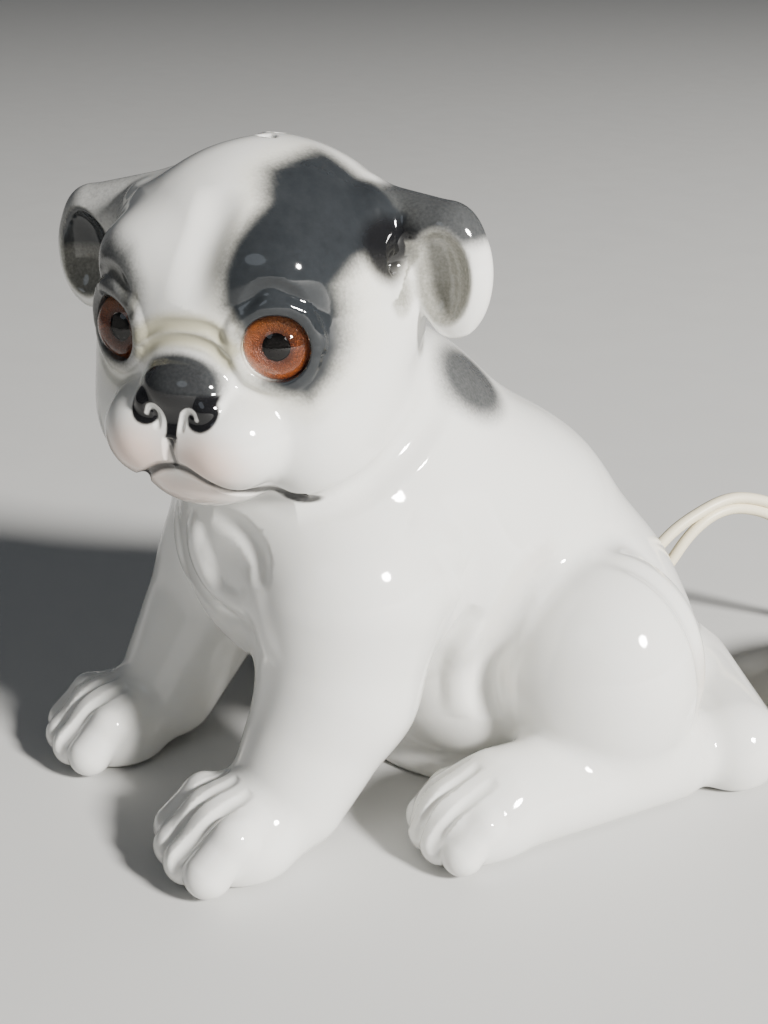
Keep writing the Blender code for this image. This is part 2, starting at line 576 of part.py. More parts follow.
def plug(parts, cutters):
    """Two clamped halves on two round pins, lying across the coil. Its frame's +X points along the
    pins, and its origin is where the flex goes in."""
    stand = COIL_FOOT + coil_height() + GAP
    frame = local_frame(COIL + Vector((-7.2, 26.4, stand)), radians(8))
    cream = material("cream_plug", (0.84, 0.8, 0.68), 0.35)
    nickel = material("plug_nickel", (0.75, 0.74, 0.7), 0.25, 1.0)
    steel = material("plug_steel", (0.55, 0.55, 0.57), 0.3, 1.0)
    middle, half = PLUG_H / 2, PLUG_H / 2 - GAP / 2

    def here(x, y, z):
        return Vector((x, y, z)) * MM

    def cutter(obj):
        return as_cutter(put(obj, frame))

    wide = PLUG_W / 2
    side = [(0, 5.2), (6, 6), (11, 9), (15, 14), (19, wide), (PLUG_L, wide)]
    outline = [*side, *[(x, -y) for x, y in reversed(side)]]
    cuts = [
        cutter(rod("plug_entry", here(-5, 0, middle), here(10, 0, middle), ENTRY_R, cutters)),
        cutter(block("plug_room", (12, 22, 7), cutters, location=here(15.5, 0, middle - 3.5))),
        cutter(lathe("plug_screw_hole", [(0, PLUG_H + 1), (2.6, PLUG_H + 1), (2.6, PLUG_H - 2.2),
                                         (1.6, PLUG_H - 2.2), (1.6, 2), (0, 2)], cutters,
                     location=here(26.5, 0, 0), steps=16)),
    ]
    for i, y in enumerate((-PIN_SPACE / 2, PIN_SPACE / 2), 1):
        cuts.append(cutter(rod(f"pin_seat_{i}", here(17, y, middle), here(60, y, middle), PIN_R + GAP,
                               cutters, sides=16)))
        put(rod(f"plug_pin_{i}", here(17.4, y, middle), here(PLUG_L + PIN_OUT, y, middle), PIN_R, parts,
                nickel, 16), frame)
    for name, low in (("plug_lower_half", 0), ("plug_upper_half", middle + GAP / 2)):
        body = put(plate(name, outline, half, parts, cream, here(0, 0, low + half / 2)), frame)
        for cut in cuts:
            boolean(body, cut)
    put(lathe("plug_screw", [(0, PLUG_H - 0.5), (2.2, PLUG_H - 0.5), (2.2, PLUG_H - 1.9),
                             (1.3, PLUG_H - 1.9), (1.3, 2.4), (0, 2.4)], parts, steel,
              here(26.5, 0, 0), steps=16), frame)


def main():
    clear_scene()
    parts = new_collection("porcelain_puppy_lamp")
    cutters = new_collection("cutters", hidden=True)
    porcelain_figure(parts, cutters)
    glass_eye("left_eye", 1, parts)
    glass_eye("right_eye", -1, parts)
    lamp_holder(parts, cutters)
    lamp_bulb(parts)
    inner_leads(parts)
    cord_and_coil(parts, cutters)
    rocker_switch(parts, cutters)
    plug(parts, cutters)


main()
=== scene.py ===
"""Porcelain puppy night lamp: the finished look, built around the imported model.

The figure is sculpted as one distance field in millimetres: rounded forms pressed together, then thin
strokes for folds, toes and wrinkles. It is meshed once, with smaller faces where the detail is, and its
sprayed and painted colours are laid on as masks worked out from the same forms.
"""

from math import cos, pi, radians, sin, sqrt

import bmesh
import bpy
import numpy as np
from mathutils import Matrix, Vector


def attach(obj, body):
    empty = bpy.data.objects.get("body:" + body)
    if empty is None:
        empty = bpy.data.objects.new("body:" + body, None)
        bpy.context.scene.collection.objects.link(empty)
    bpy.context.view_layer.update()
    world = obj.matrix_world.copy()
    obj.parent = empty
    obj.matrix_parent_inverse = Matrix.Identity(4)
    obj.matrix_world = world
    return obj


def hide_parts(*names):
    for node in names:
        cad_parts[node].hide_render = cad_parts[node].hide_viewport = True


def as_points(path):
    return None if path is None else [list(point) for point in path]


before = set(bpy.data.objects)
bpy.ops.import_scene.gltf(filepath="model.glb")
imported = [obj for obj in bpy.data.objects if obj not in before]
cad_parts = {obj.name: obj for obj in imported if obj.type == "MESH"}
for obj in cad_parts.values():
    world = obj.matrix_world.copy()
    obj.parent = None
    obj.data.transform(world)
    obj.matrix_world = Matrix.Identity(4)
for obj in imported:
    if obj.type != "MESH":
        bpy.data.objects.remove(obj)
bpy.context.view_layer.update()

# ---- the sculpt
# Millimetres: x to the figure's left, y backwards from the middle of the front paws, z up.
MM = 0.001
FLOOR_Y = -66.5
WALL = 4.5
SKULL = np.array([0.0, 31.0, 120.0])
TURN = radians(40)
LEFT = np.array([cos(TURN), sin(TURN), 0.0])
AHEAD = np.array([sin(TURN), -cos(TURN), 0.0])
FACING = np.array([LEFT, AHEAD, [0.0, 0.0, 1.0]])
EYE_SIDE, EYE_FORE, EYE_UP, EYE_R = 18.9, 31.2, 0.5, 7.0
EYE_OUT = radians(21)
PUPIL_R, IRIS_IN = 2.35, 2.4
EARS = ((1, 44.5, -2, 11), (-1, 46.6, 1, 8.5))  # each one's side, then how far out, forward and up it is
CUP = (7.9, 9.2, 11.9)  # radii of an ear's hollow
COARSE = 4  # how many cells of the fine grid each coarse block spans
EDGE_PAIRS = [(a, b) for a in range(8) for b in range(8) if a < b and (a ^ b) in (1, 2, 4)]


def at(side, fore, up):
    """A place on the head: towards its left, the way it looks, and up from the skull's middle."""
    return SKULL + side * LEFT + fore * AHEAD + np.array([0.0, 0.0, up])


def on_head(points):
    return (np.asarray(points) - SKULL) @ FACING.T


def ease(value, low, high):
    """0 below low, 1 above high, with a soft step between."""
    t = np.clip((value - low) / (high - low), 0, 1)
    return t * t * (3 - 2 * t)


def ball(centre, radii, axes=np.eye(3)):
    centre, radii = np.asarray(centre, float), np.asarray(radii, float)

    def far(points):
        local = (points - centre) @ axes.T
        k0 = np.linalg.norm(local / radii, axis=1)
        k1 = np.linalg.norm(local / radii**2, axis=1) + 1e-9
        return k0 * (k0 - 1) / k1

    half = np.sqrt(((axes * radii[:, None]) ** 2).sum(0))
    return far, centre - half, centre + half


def limb(a, ra, b, rb):
    """A rod with round ends whose radius runs from ra to rb."""
    a, b = np.asarray(a, float), np.asarray(b, float)
    run = b - a
    long = run @ run
    slope = ra - rb
    side = long - slope * slope

    def far(points):
        p = points - a
        y = p @ run
        z = y - long
        x2 = ((p * long - np.outer(y, run)) ** 2).sum(1)
        y2, z2 = y * y * long, z * z * long
        k = np.sign(slope) * slope * slope * x2
        beyond = np.sqrt(x2 + z2) / long - rb
        before = np.sqrt(x2 + y2) / long - ra
        beside = (np.sqrt(x2 * side / long) + y * slope) / long - ra
        return np.where(np.sign(z) * side * z2 > k, beyond,
                        np.where(np.sign(y) * side * y2 < k, before, beside))

    most = max(ra, rb)
    return far, np.minimum(a, b) - most, np.maximum(a, b) + most


def nearest(points, path):
    """How far each point is from a broken line, and how far along it, from 0 to 1."""
    best = np.full(len(points), 1e9)
    along = np.zeros(len(points))
    lengths = np.linalg.norm(np.diff(path, axis=0), axis=1)
    total, done = lengths.sum(), 0.0
    for a, b, length in zip(path[:-1], path[1:], lengths):
        run = b - a
        t = np.clip((points - a) @ run / (run @ run), 0, 1)
        away = np.linalg.norm(points - a - t[:, None] * run, axis=1)
        closer = away < best
        best[closer] = away[closer]
        along[closer] = (done + t[closer] * length) / total
        done += length
    return best, along


def curve_through(points, count=24):
    """More points on a smooth curve through these."""
    p = np.asarray(points, float)
    if len(p) < 3:
        return p
    p = np.vstack([2 * p[0] - p[1], p, 2 * p[-1] - p[-2]])
    spans = len(p) - 3
    out = []
    for u in np.linspace(0, spans, count + 1):
        i = min(int(u), spans - 1)
        t = u - i
        a, b, c, d = p[i:i + 4]
        out.append(0.5 * (2 * b + (c - a) * t + (2 * a - 5 * b + 4 * c - d) * t * t
                          + (3 * b - a - 3 * c + d) * t**3))
    return np.array(out)


def within(x, y, outline):
    """How far each place is inside an outline on a plane; below zero outside it."""
    outline = np.asarray(outline, float)
    best = np.full(len(x), 1e9)
    inside = np.zeros(len(x), bool)
    for (ax, ay), (bx, by) in zip(outline, np.roll(outline, -1, 0)):
        dx, dy = bx - ax, by - ay
        t = np.clip(((x - ax) * dx + (y - ay) * dy) / (dx * dx + dy * dy), 0, 1)
        best = np.minimum(best, np.hypot(x - ax - t * dx, y - ay - t * dy))
        if ay != by:
            inside ^= ((y < ay) != (y < by)) & (x < ax + (y - ay) * dx / dy)
    return np.where(inside, best, -best)


def beside(x, y, line, wide):
    """How far each place is inside a band of half-width wide along a line on a plane."""
    path = curve_through([(*p, 0.0) for p in line])
    away, along = nearest(np.stack([x, y, np.zeros(len(x))], 1), path)
    return (wide if np.isscalar(wide) else np.interp(along, [0, 0.5, 1], wide)) - away


class Clay:
    """Forms pressed together in order. field() is the distance to the surface, negative inside."""

    def __init__(self):
        self.steps = []

    def add(self, shape, blend):
        self.steps.append((*shape, blend, "add"))

    def cut(self, shape, blend):
        self.steps.append((*shape, blend, "cut"))

    def stroke(self, path, width, rise, taper=0.25, soft=True):
        """Raises, or below zero sinks, the surface along a line lying on it."""
        path = curve_through(path)

        def shift(points):
            away, along = nearest(points, path)
            fall = np.clip(1 - away / width, 0, 1)
            fall = fall * fall * (3 - 2 * fall) if soft else fall**1.3
            ends = np.clip(np.minimum(along, 1 - along) / taper, 0, 1) if taper else 1.0
            return -rise * fall * ends * (2 - ends if taper else 1.0)

        self.steps.append((shift, path.min(0) - width, path.max(0) + width, 0.0, "shift"))

    def field(self, points, reach=9.0):
        d = np.full(len(points), 1e3)
        for shape, low, high, blend, kind in self.steps:
            more = 0.0 if kind == "shift" else blend + reach
            near = np.flatnonzero(((points > low - more) & (points < high + more)).all(1))
            if not len(near):
                continue
            s, c = shape(points[near]), d[near]
            if kind == "add":
                h = np.clip(blend - np.abs(c - s), 0, None) / blend
                d[near] = np.minimum(c, s) - h * h * blend / 4
            elif kind == "cut":
                h = np.clip(blend - np.abs(c + s), 0, None) / blend
                d[near] = np.maximum(c, -s) + h * h * blend / 4
            else:
                d[near] = c + s
        return d

    def slope(self, points, step=0.2):
        return np.stack([self.field(points + step * v) - self.field(points - step * v)
                         for v in np.eye(3)], 1) / (2 * step)

    def onto(self, points, rounds=6):
        """The points moved onto the surface."""
        p = np.array(points, float)
        for _ in range(rounds):
            g = self.slope(p)
            p -= (self.field(p) / np.maximum((g * g).sum(1), 0.05))[:, None] * g
        return p

    def face(self, spots, start=60.0):
        """Places on the front of the head, given as (side, up), found by coming back from ahead of it."""
        p = np.array([at(side, start, up) for side, up in spots])
        for _ in range(60):
            p -= np.clip(self.field(p, 60.0), -2, 9)[:, None] * 0.8 * AHEAD
        return p


def mirrored(spots):
    return [(-side, *rest) for side, *rest in spots]


def smaller(less, *radii):
    return [r - less for r in radii]


def press_trunk(clay, less=0.0):
    """Chest, back and haunch. With less above zero it is the same shape that much smaller."""
    clay.add(ball((1, 46, 66), smaller(less, 37, 38, 40)), 8)
    clay.add(limb((2, 38, 98), 28 - less, (0, 53, 79), 34 - less), 10)
    clay.add(limb((0, 53, 77), 35 - less, (0, 84, 51), 36.5 - less), 10)
    clay.add(limb((0, 84, 51), 36.5 - less, (0, 110, 30), 30 - less), 12)
    clay.add(ball((0, 108, 30), smaller(less, 42, 30.5, 30)), 10)
    clay.add(ball((0, 120, 14), smaller(less, 41, 28.5, 26)), 10)
    clay.add(ball((2, 80, 22), smaller(less, 36, 29, 24)), 6)
    clay.add(ball((0, 94, -4), smaller(less, 38, 41, 30)), 3)


def press_skull(clay, less=0.0):
    clay.add(ball(at(0, 2, 2), smaller(less, 37, 36, 36.5), FACING), 4)


def press_toes(clay, spread, knuckle, tip, rise, girth):
    """Four toes side by side with a groove between each two. Places are (across, along, up), and spread
    is half the width that the toes' middles share."""
    knuckle, tip = np.array(knuckle, float), np.array(tip, float)
    for i in range(4):
        share = (i - 1.5) / 1.5
        back = 2.6 * share * share
        bend = (knuckle + tip) / 2 + [spread * share * 0.95, back * 0.7, girth * 0.45]
        front = tip + [spread * share, back, 0]
        clay.add(limb(knuckle + [spread * share * 0.7, 0, 0], girth * 0.8, bend, girth * 0.95), rise)
        clay.add(limb(bend, girth * 0.95, front, girth), rise)
    for i in (-1, 0, 1):
        across = spread * i / 1.5
        path = [knuckle + [across * 0.7, 1, girth], (knuckle + tip) / 2 + [across * 0.95, 0, girth * 1.5],
                tip + [across, -girth * 0.5, girth], tip + [across, -girth, 0]]
        clay.stroke(clay.onto(path), 1.9, -1.5, taper=0.3)


def press_legs(clay):
    """Thighs, hind feet, the two forelegs, which differ, and the tail lying beside the left haunch."""
    for s in (1, -1):
        clay.add(ball((s * 40, 99, 31), (25, 25, 30)), 5)
        clay.add(limb((s * 50, 112, 10), 12, (s * 52, 66, 10), 12.5), 4)
        clay.add(ball((s * 52, 58, 8), (13.5, 14, 11)), 4)
        press_toes(clay, 9.0, (s * 52, 61, 12), (s * 53, 47.6, 5.6), 1.2, 4.9)
    clay.add(limb((28, 38, 60), 23, (30.5, 34, 37), 18), 8)
    clay.add(limb((30.5, 34, 37), 18, (33, 20, 14), 14), 4)
    clay.add(ball((34.5, 7, 8), (15.5, 15, 12.5)), 4)
    press_toes(clay, 10.6, (34.5, 8, 14), (35, -7, 6.2), 1.3, 5.6)
    clay.add(limb((-28, 37, 60), 22, (-28, 29, 47), 17.5), 8)
    clay.add(limb((-28, 29, 47), 17.5, (-27, 10, 14), 13), 4)
    clay.add(ball((-26, -4, 8), (14.5, 14, 12.5)), 4)
    press_toes(clay, 10.0, (-26, -3, 14), (-25.5, -17, 6.1), 1.3, 5.4)
    clay.add(limb((15, 141, 8), 15, (52, 131, 9), 12.5), 5)


def press_muzzle(clay):
    """The flatter right temple, then cheeks, jowls, brows, lips, chin, nose and nostrils."""
    clay.stroke([at(-8, -10, 37), at(-19, 2, 33.5), at(-27, 10, 26)], 20, -2.4, taper=0.35)
    for s in (1, -1):
        clay.add(ball(at(s * 17, 10, -14), (19, 21, 20), FACING), 6)
        clay.add(ball(at(s * 19.5, 16, -23), (13, 16, 13), FACING), 6)
        clay.add(ball(at(s * 14.5, 26.5, 15), (10, 7, 7.5), FACING), 7)
    clay.add(ball(at(0, 25, -19), (21, 19, 14), FACING), 5)
    for s in (1, -1):
        clay.add(ball(at(s * 9, 33.5, -20), (11.8, 11.5, 11), FACING), 2.5)
    clay.add(ball(at(0, 27.5, -28.5), (15.5, 13, 9), FACING), 2)
    clay.add(ball(at(0.5, 36.5, -9), (10, 8, 7), FACING), 2.5)
    for s in (1, -1):
        clay.add(ball(at(0.5 + s * 6.6, 39.5, -12), (4, 4.2, 3.6), FACING), 1.2)


def cup_middle(s, out, fore, up):
    return s * (out - 1.3), fore + 10, up - 0.4


def shape_ears(clay):
    """Each ear stands out from the skull, rolls over and hangs, with its hollow facing forwards."""
    for s, out, fore, up in EARS:
        clay.add(limb(at(s * 23, fore - 2, 21), 8, at(s * (out - 2.5), fore, up + 9), 6.6), 4)
        clay.add(ball(at(s * out, fore, up), (8.4, 6.5, 14), FACING), 3)
        clay.add(limb(at(s * 26, fore + 5, up + 12), 6.5, at(s * 31, fore + 10.5, up + 4.2), 2.6), 2.5)
        clay.cut(ball(at(*cup_middle(s, out, fore, up)), CUP, FACING), 1.2)
        clay.cut(limb(at(s * (out - 10.5), fore + 9, up + 3.2), 1.8,
                      at(s * (out - 3), fore + 8, up + 4), 4.8), 1.6)


def eye_axes(side):
    """Rows: across an eye, the way it looks, and up; with its middle on the skin."""
    turn = TURN + side * EYE_OUT
    axes = np.array([[cos(turn), sin(turn), 0], [sin(turn), -cos(turn), 0], [0, 0, 1.0]])
    return axes, at(side * EYE_SIDE, EYE_FORE, EYE_UP)


def set_eyes(clay):
    """A swelling, two lids and the fold under them round each eye, and the round socket for its glass."""
    for s in (1, -1):
        axes, middle = eye_axes(s)

        def around(radius, start, end, count=9):
            turns = [radians(start + (end - start) * i / (count - 1)) for i in range(count)]
            return clay.onto([middle + radius * s * cos(t) * axes[0] + radius * sin(t) * axes[2]
                              for t in turns])

        clay.add(ball(middle - 2.5 * axes[1], (9.6, 5.2, 9.4), axes), 3)
        lower = around(8.2, 175, 365)
        upper = around(9.0, -12, 192)
        bag = around(11.6, 215, 325)
        clay.stroke(lower, 1.9, 0.55, taper=0.15)
        clay.stroke(upper, 2.8, 1.4, taper=0.2)
        clay.stroke(bag, 1.9, -0.4, taper=0.3)
        clay.cut(limb(middle - 7 * axes[1], EYE_R + 0.1, middle + 9 * axes[1], EYE_R + 0.1), 0.7)


MOUTH = [(0, -24.8), (4, -25.6), (8.5, -28.4), (13, -31.4), (18, -33.6), (22.5, -34.2)]
LID_FOLD = [(13.6, 6.5), (15.2, 10.4), (17.2, 12.9), (20.2, 13.4), (23.4, 11.3), (25.4, 8.4)]
CORNER_FOLD = [(26.4, 1.4), (27.6, -2.4), (30, -4.6)]
INNER_FOLD = [(11.6, 9), (12.6, 5.6), (13.8, 2.2)]
BRIDGE_FOLDS = [[(-11.4, 0.4), (-5, 3.9), (0.9, 4.9), (7, 4.4), (11.4, 0.6)],
                [(-11, -3.2), (-6, 0.4), (0.4, 1.8), (6.4, 0.9), (10.8, -2.8)]]


def fold_face(clay):
    """Lid, mouth, bridge and forehead folds, each laid on the surface."""
    clay.stroke(clay.face([(3.6, 31), (4.2, 23), (3.2, 15), (1.6, 8)]), 6.5, -1.5, taper=0.3)
    for folds in BRIDGE_FOLDS:
        clay.stroke(clay.face(folds), 1.7, -0.75)
    for flip in (list, mirrored):
        clay.stroke(clay.face(flip(LID_FOLD)), 2.4, -1.0, taper=0.35)
        clay.stroke(clay.face(flip(INNER_FOLD)), 1.8, -0.7, taper=0.4)
        clay.stroke(clay.face(flip(MOUTH)), 1.9, -1.7, taper=0.08, soft=False)
        clay.stroke(clay.face(flip([(2.8, -16.6), (3.0, -14.4), (3.6, -12.7), (4.8, -12.0), (6.2, -13.2)])),
                    1.1, -0.5, taper=0.2)
    clay.stroke(clay.face([(0.3, -18), (0, -21), (0, -24.8)]), 1.9, -1.5, taper=0.1, soft=False)


def fold_body(clay):
    """Creases where the legs meet the body, and the loose skin of the chest and shoulder."""
    for path, width, rise in (
            ([(38, 86, 65), (37, 77, 57), (36, 72, 45), (35, 70, 34), (38, 69, 22)], 5.5, -3.4),
            ([(37, 66, 54), (35, 61, 45), (31, 58, 38), (28, 52, 34)], 4.5, -1.8),
            ([(34, 68, 50), (33, 65, 41), (32, 64, 32), (33, 64, 22)], 5.0, 1.6),
            ([(-38, 84, 64), (-37, 75, 56), (-37, 71, 45), (-39, 73, 33), (-47, 75, 23)], 5.0, -2.0),
            ([(31, 24, 83), (35, 32, 85.5), (36, 41, 89), (34.5, 49, 94), (31, 57, 100), (24, 63, 105)],
             5.5, -2.4),
            ([(8, 9, 75), (7, 8, 67), (12, 9, 61), (20, 12, 58), (29, 15, 60)], 4.5, 1.7),
            ([(13, 11, 77), (21, 14, 76), (28, 17, 71), (31, 16, 65)], 3.8, -1.5),
            ([(39, 96, 62), (48, 106, 56), (56, 113, 45), (60, 117, 32), (60, 117, 20)], 5.0, -2.0),
            ([(41, 47, 80), (41, 55, 73), (39, 63, 66)], 6.0, 1.2),
            ([(44, 45, 70), (43, 54, 62), (41, 60, 56)], 6.0, 0.9),
            ([(26, 15, 68), (30, 17, 58), (33, 20, 48)], 6.0, 0.9),
            ([(4, 11, 74), (10, 9.5, 66), (16, 10, 56)], 5.0, 1.2),
            ([(-12, 11, 74), (-6, 9.5, 64), (-4, 11, 54)], 5.0, 1.0)):
        clay.stroke(clay.onto(path), width, rise, taper=0.4)


def finish_base(clay):
    """The flat underside, with its edge rounded as glaze rounds it."""
    def below(points):
        return points[:, 2]

    clay.steps.append((below, np.array([-200.0, -200, -60]), np.array([200.0, 300, 6]), 2.4, "cut"))


def hollow_out(clay):
    """The inside of the casting: the trunk and the skull, one wall smaller, and the holes into it."""
    room = Clay()
    press_trunk(room, WALL)
    press_skull(room, WALL)

    def inside(points):
        return room.field(points, 12.0)

    clay.steps.append((inside, np.array([-50.0, -10, 4]), np.array([50.0, 150, 152]), 1.0, "cut"))
    clay.cut(limb((0, 84, -8), 23, (0, 84, 6), 23), 1.5)
    for turn in (0, 120, 240):
        side, fore = 3.6 * sin(TURN + radians(turn)), 3.6 * cos(TURN + radians(turn))
        clay.cut(limb(at(side, fore, 26), 1.6, at(side, fore, 46), 1.6), 0.8)
    clay.cut(limb((0, 128, 20.5), 5.2, (0, 149.5, 43.5), 5.2), 1.0)


def sculpt():
    clay = Clay()
    for shape in (press_trunk, press_legs, press_skull, press_muzzle, shape_ears, set_eyes, fold_face,
                  fold_body, hollow_out, finish_base):
        shape(clay)
    return clay


# ---- the mesh
def near_grid(clay, low, high, cell):
    """The field on a grid, worked out in full only in the blocks that the surface passes through."""
    block = cell * COARSE
    count = np.ceil((high - low) / block).astype(int) + 1
    axes = [low[i] + block * np.arange(count[i]) for i in range(3)]
    corners = np.stack(np.meshgrid(*axes, indexing="ij"), -1)
    rough = clay.field(corners.reshape(-1, 3), 3 * block).reshape(count)
    values = np.repeat(np.repeat(np.repeat(rough, COARSE, 0), COARSE, 1), COARSE, 2)
    blocks = np.argwhere(np.abs(rough) < block * 1.9)
    inner = np.stack(np.meshgrid(*[np.arange(COARSE)] * 3, indexing="ij"), -1).reshape(-1, 3)
    spots = (blocks[:, None] * COARSE + inner).reshape(-1, 3)
    for start in range(0, len(spots), 400000):
        part = spots[start:start + 400000]
        values[tuple(part.T)] = clay.field(low + cell * part, 3 * block)
    return values


def net(values, low, cell):
    """One vertex in each cell that the surface crosses, and one quad across each crossed edge."""
    inside = values < 0
    size = np.array(values.shape) - 1
    offsets = np.array([[(c >> 2) & 1, (c >> 1) & 1, c & 1] for c in range(8)])
    count = sum(inside[o[0]:o[0] + size[0], o[1]:o[1] + size[1], o[2]:o[2] + size[2]].astype(np.int8)
                for o in offsets)
    cells = np.argwhere((count > 0) & (count < 8))
    index = np.full(size, -1)
    index[tuple(cells.T)] = np.arange(len(cells))
    corner = np.stack([values[tuple((cells + o).T)] for o in offsets], 1)
    total, hits = np.zeros((len(cells), 3)), np.zeros(len(cells))
    for a, b in EDGE_PAIRS:
        va, vb = corner[:, a], corner[:, b]
        crossed = (va < 0) != (vb < 0)
        t = (va / np.where(crossed, va - vb, 1))[:, None]
        total += np.where(crossed[:, None], offsets[a] * (1 - t) + offsets[b] * t, 0)
        hits += crossed
    points = low + cell * (cells + total / hits[:, None])

    quads = []
    for axis in range(3):
        b, c = (axis + 1) % 3, (axis + 2) % 3
        first = np.take(inside, range(size[axis]), axis)
        last = np.take(inside, range(1, size[axis] + 1), axis)
        for sign, crossed in ((1, first & ~last), (-1, ~first & last)):
            spots = np.argwhere(crossed)
            spots = spots[(spots[:, b] > 0) & (spots[:, c] > 0)
                          & (spots[:, b] < size[b]) & (spots[:, c] < size[c])]
            ring = []
            for db, dc in ((0, 0), (-1, 0), (-1, -1), (0, -1))[::sign]:
                spot = spots.copy()
                spot[:, b] += db
                spot[:, c] += dc
                ring.append(index[tuple(spot.T)])
            quads.append(np.stack(ring, 1))
    return points, np.concatenate(quads)


def refine(points, faces, wanted):
    """Splits each quad that wanted() picks into four, and works the new corners into its neighbours."""
    quads = [i for i, f in enumerate(faces) if len(f) == 4]
    middle = np.array([points[list(faces[i])].mean(0) for i in quads])
    chosen = {i for i, yes in zip(quads, wanted(middle)) if yes}
    points = list(points)
    split = {}

    def halfway(a, b):
        key = (a, b) if a < b else (b, a)
        if key not in split:
            split[key] = len(points)
            points.append((points[a] + points[b]) / 2)
        return split[key]

    out = []
    for i in sorted(chosen):
        a, b, c, d = faces[i]
        ab, bc, cd, da = halfway(a, b), halfway(b, c), halfway(c, d), halfway(d, a)
        points.append((points[a] + points[b] + points[c] + points[d]) / 4)
        m = len(points) - 1
        out += [(a, ab, m, da), (ab, b, bc, m), (m, bc, c, cd), (da, m, cd, d)]
    for i, face in enumerate(faces):
        if i in chosen:
            continue
        ring = []
        for a, b in zip(face, (*face[1:], face[0])):
            ring.append(a)
            key = (a, b) if a < b else (b, a)
            if key in split:
                ring.append(split[key])
        out.append(tuple(ring))
    return np.array(points), out


def settle(clay, points, cell, rounds=3):
    for _ in range(rounds):
        g = clay.slope(points)
        step = (clay.field(points) / np.maximum((g * g).sum(1), 0.25))[:, None] * g
        long = np.linalg.norm(step, axis=1, keepdims=True)
        points = points - step * np.minimum(1, 0.5 * cell / np.maximum(long, 1e-9))
    return points


def in_room(points):
    """From millimetres measured at the front paws to metres in the frame."""
    return (np.asarray(points) + [0, FLOOR_Y, 0]) * MM


# ---- materials
class Wiring:
    """A new material and short ways to wire its nodes. A value is a number, a colour or a node's output."""

    def __init__(self, name):
        self.material = bpy.data.materials.new(name)
        self.material.use_nodes = True
        self.nodes = self.material.node_tree.nodes
        self.shader = self.nodes["Principled BSDF"]
        self.place = self.nodes.new("ShaderNodeTexCoord").outputs["Object"]

    def feed(self, socket, value):
        if isinstance(value, bpy.types.NodeSocket):
            self.material.node_tree.links.new(value, socket)
        else:
            socket.default_value = (*value, 1) if isinstance(value, tuple) else value

    def look(self, **values):
        """Sets the shader's sockets, named with _ for each space."""
        for name, value in values.items():
            self.feed(self.shader.inputs[name.replace("_", " ")], value)

    def node(self, kind, **values):
        made = self.nodes.new("ShaderNode" + kind)
        for name, value in values.items():
            self.feed(made.inputs[name.replace("_", " ")], value)
        return made

    def noise(self, scale, detail=3.0, roughness=0.5):
        return self.node("TexNoise", Scale=scale, Detail=detail, Roughness=roughness,
                         Vector=self.place).outputs["Fac"]

    def mask(self, name):
        made = self.nodes.new("ShaderNodeAttribute")
        made.attribute_name = name
        return made.outputs["Fac"]

    def maths(self, kind, a, b=0.0, clamp=False):
        made = self.nodes.new("ShaderNodeMath")
        made.operation = kind
        made.use_clamp = clamp
        self.feed(made.inputs[0], a)
        self.feed(made.inputs[1], b)
        return made.outputs["Value"]

    def mix(self, factor, a, b, kind="MIX"):
        made = self.nodes.new("ShaderNodeMix")
        made.data_type = "RGBA"
        made.blend_type = kind
        for name, value in (("Factor", factor), ("A", a), ("B", b)):
            self.feed(made.inputs[name], value)
        return made.outputs["Result"]

    def ramp(self, factor, stops):
        made = self.nodes.new("ShaderNodeValToRGB")
        while len(made.color_ramp.elements) < len(stops):
            made.color_ramp.elements.new(0.5)
        for element, (where, colour) in zip(made.color_ramp.elements, stops):
            element.position = where
            element.color = (*colour, 1)
        self.feed(made.inputs["Fac"], factor)
        return made.outputs["Color"]

    def bump(self, height, strength, distance):
        return self.node("Bump", Strength=strength, Distance=distance, Height=height).outputs["Normal"]


def new_material(name, colour, roughness, metallic=0.0, coat=0.0, spread=0.0, grain=900.0, bump=0.0):
    """A Principled material whose colour and roughness wander a little with the surface."""
    made = Wiring(name)
    grains = made.noise(grain, 4.0)
    darker = tuple(c * (1 - spread) for c in colour)
    lighter = tuple(min(1, c * (1 + spread)) for c in colour)
    rough = made.node("MapRange", To_Min=roughness * 0.8, To_Max=min(1, roughness * 1.25), Value=grains)
    made.look(Base_Color=made.mix(grains, darker, lighter), Roughness=rough.outputs["Result"],
              Metallic=float(metallic), Coat_Weight=float(coat), Coat_Roughness=0.08)
    if bump:
        made.look(Normal=made.bump(grains, 0.4, bump))
    made.material.diffuse_color = (*colour, 1)
    return made.material


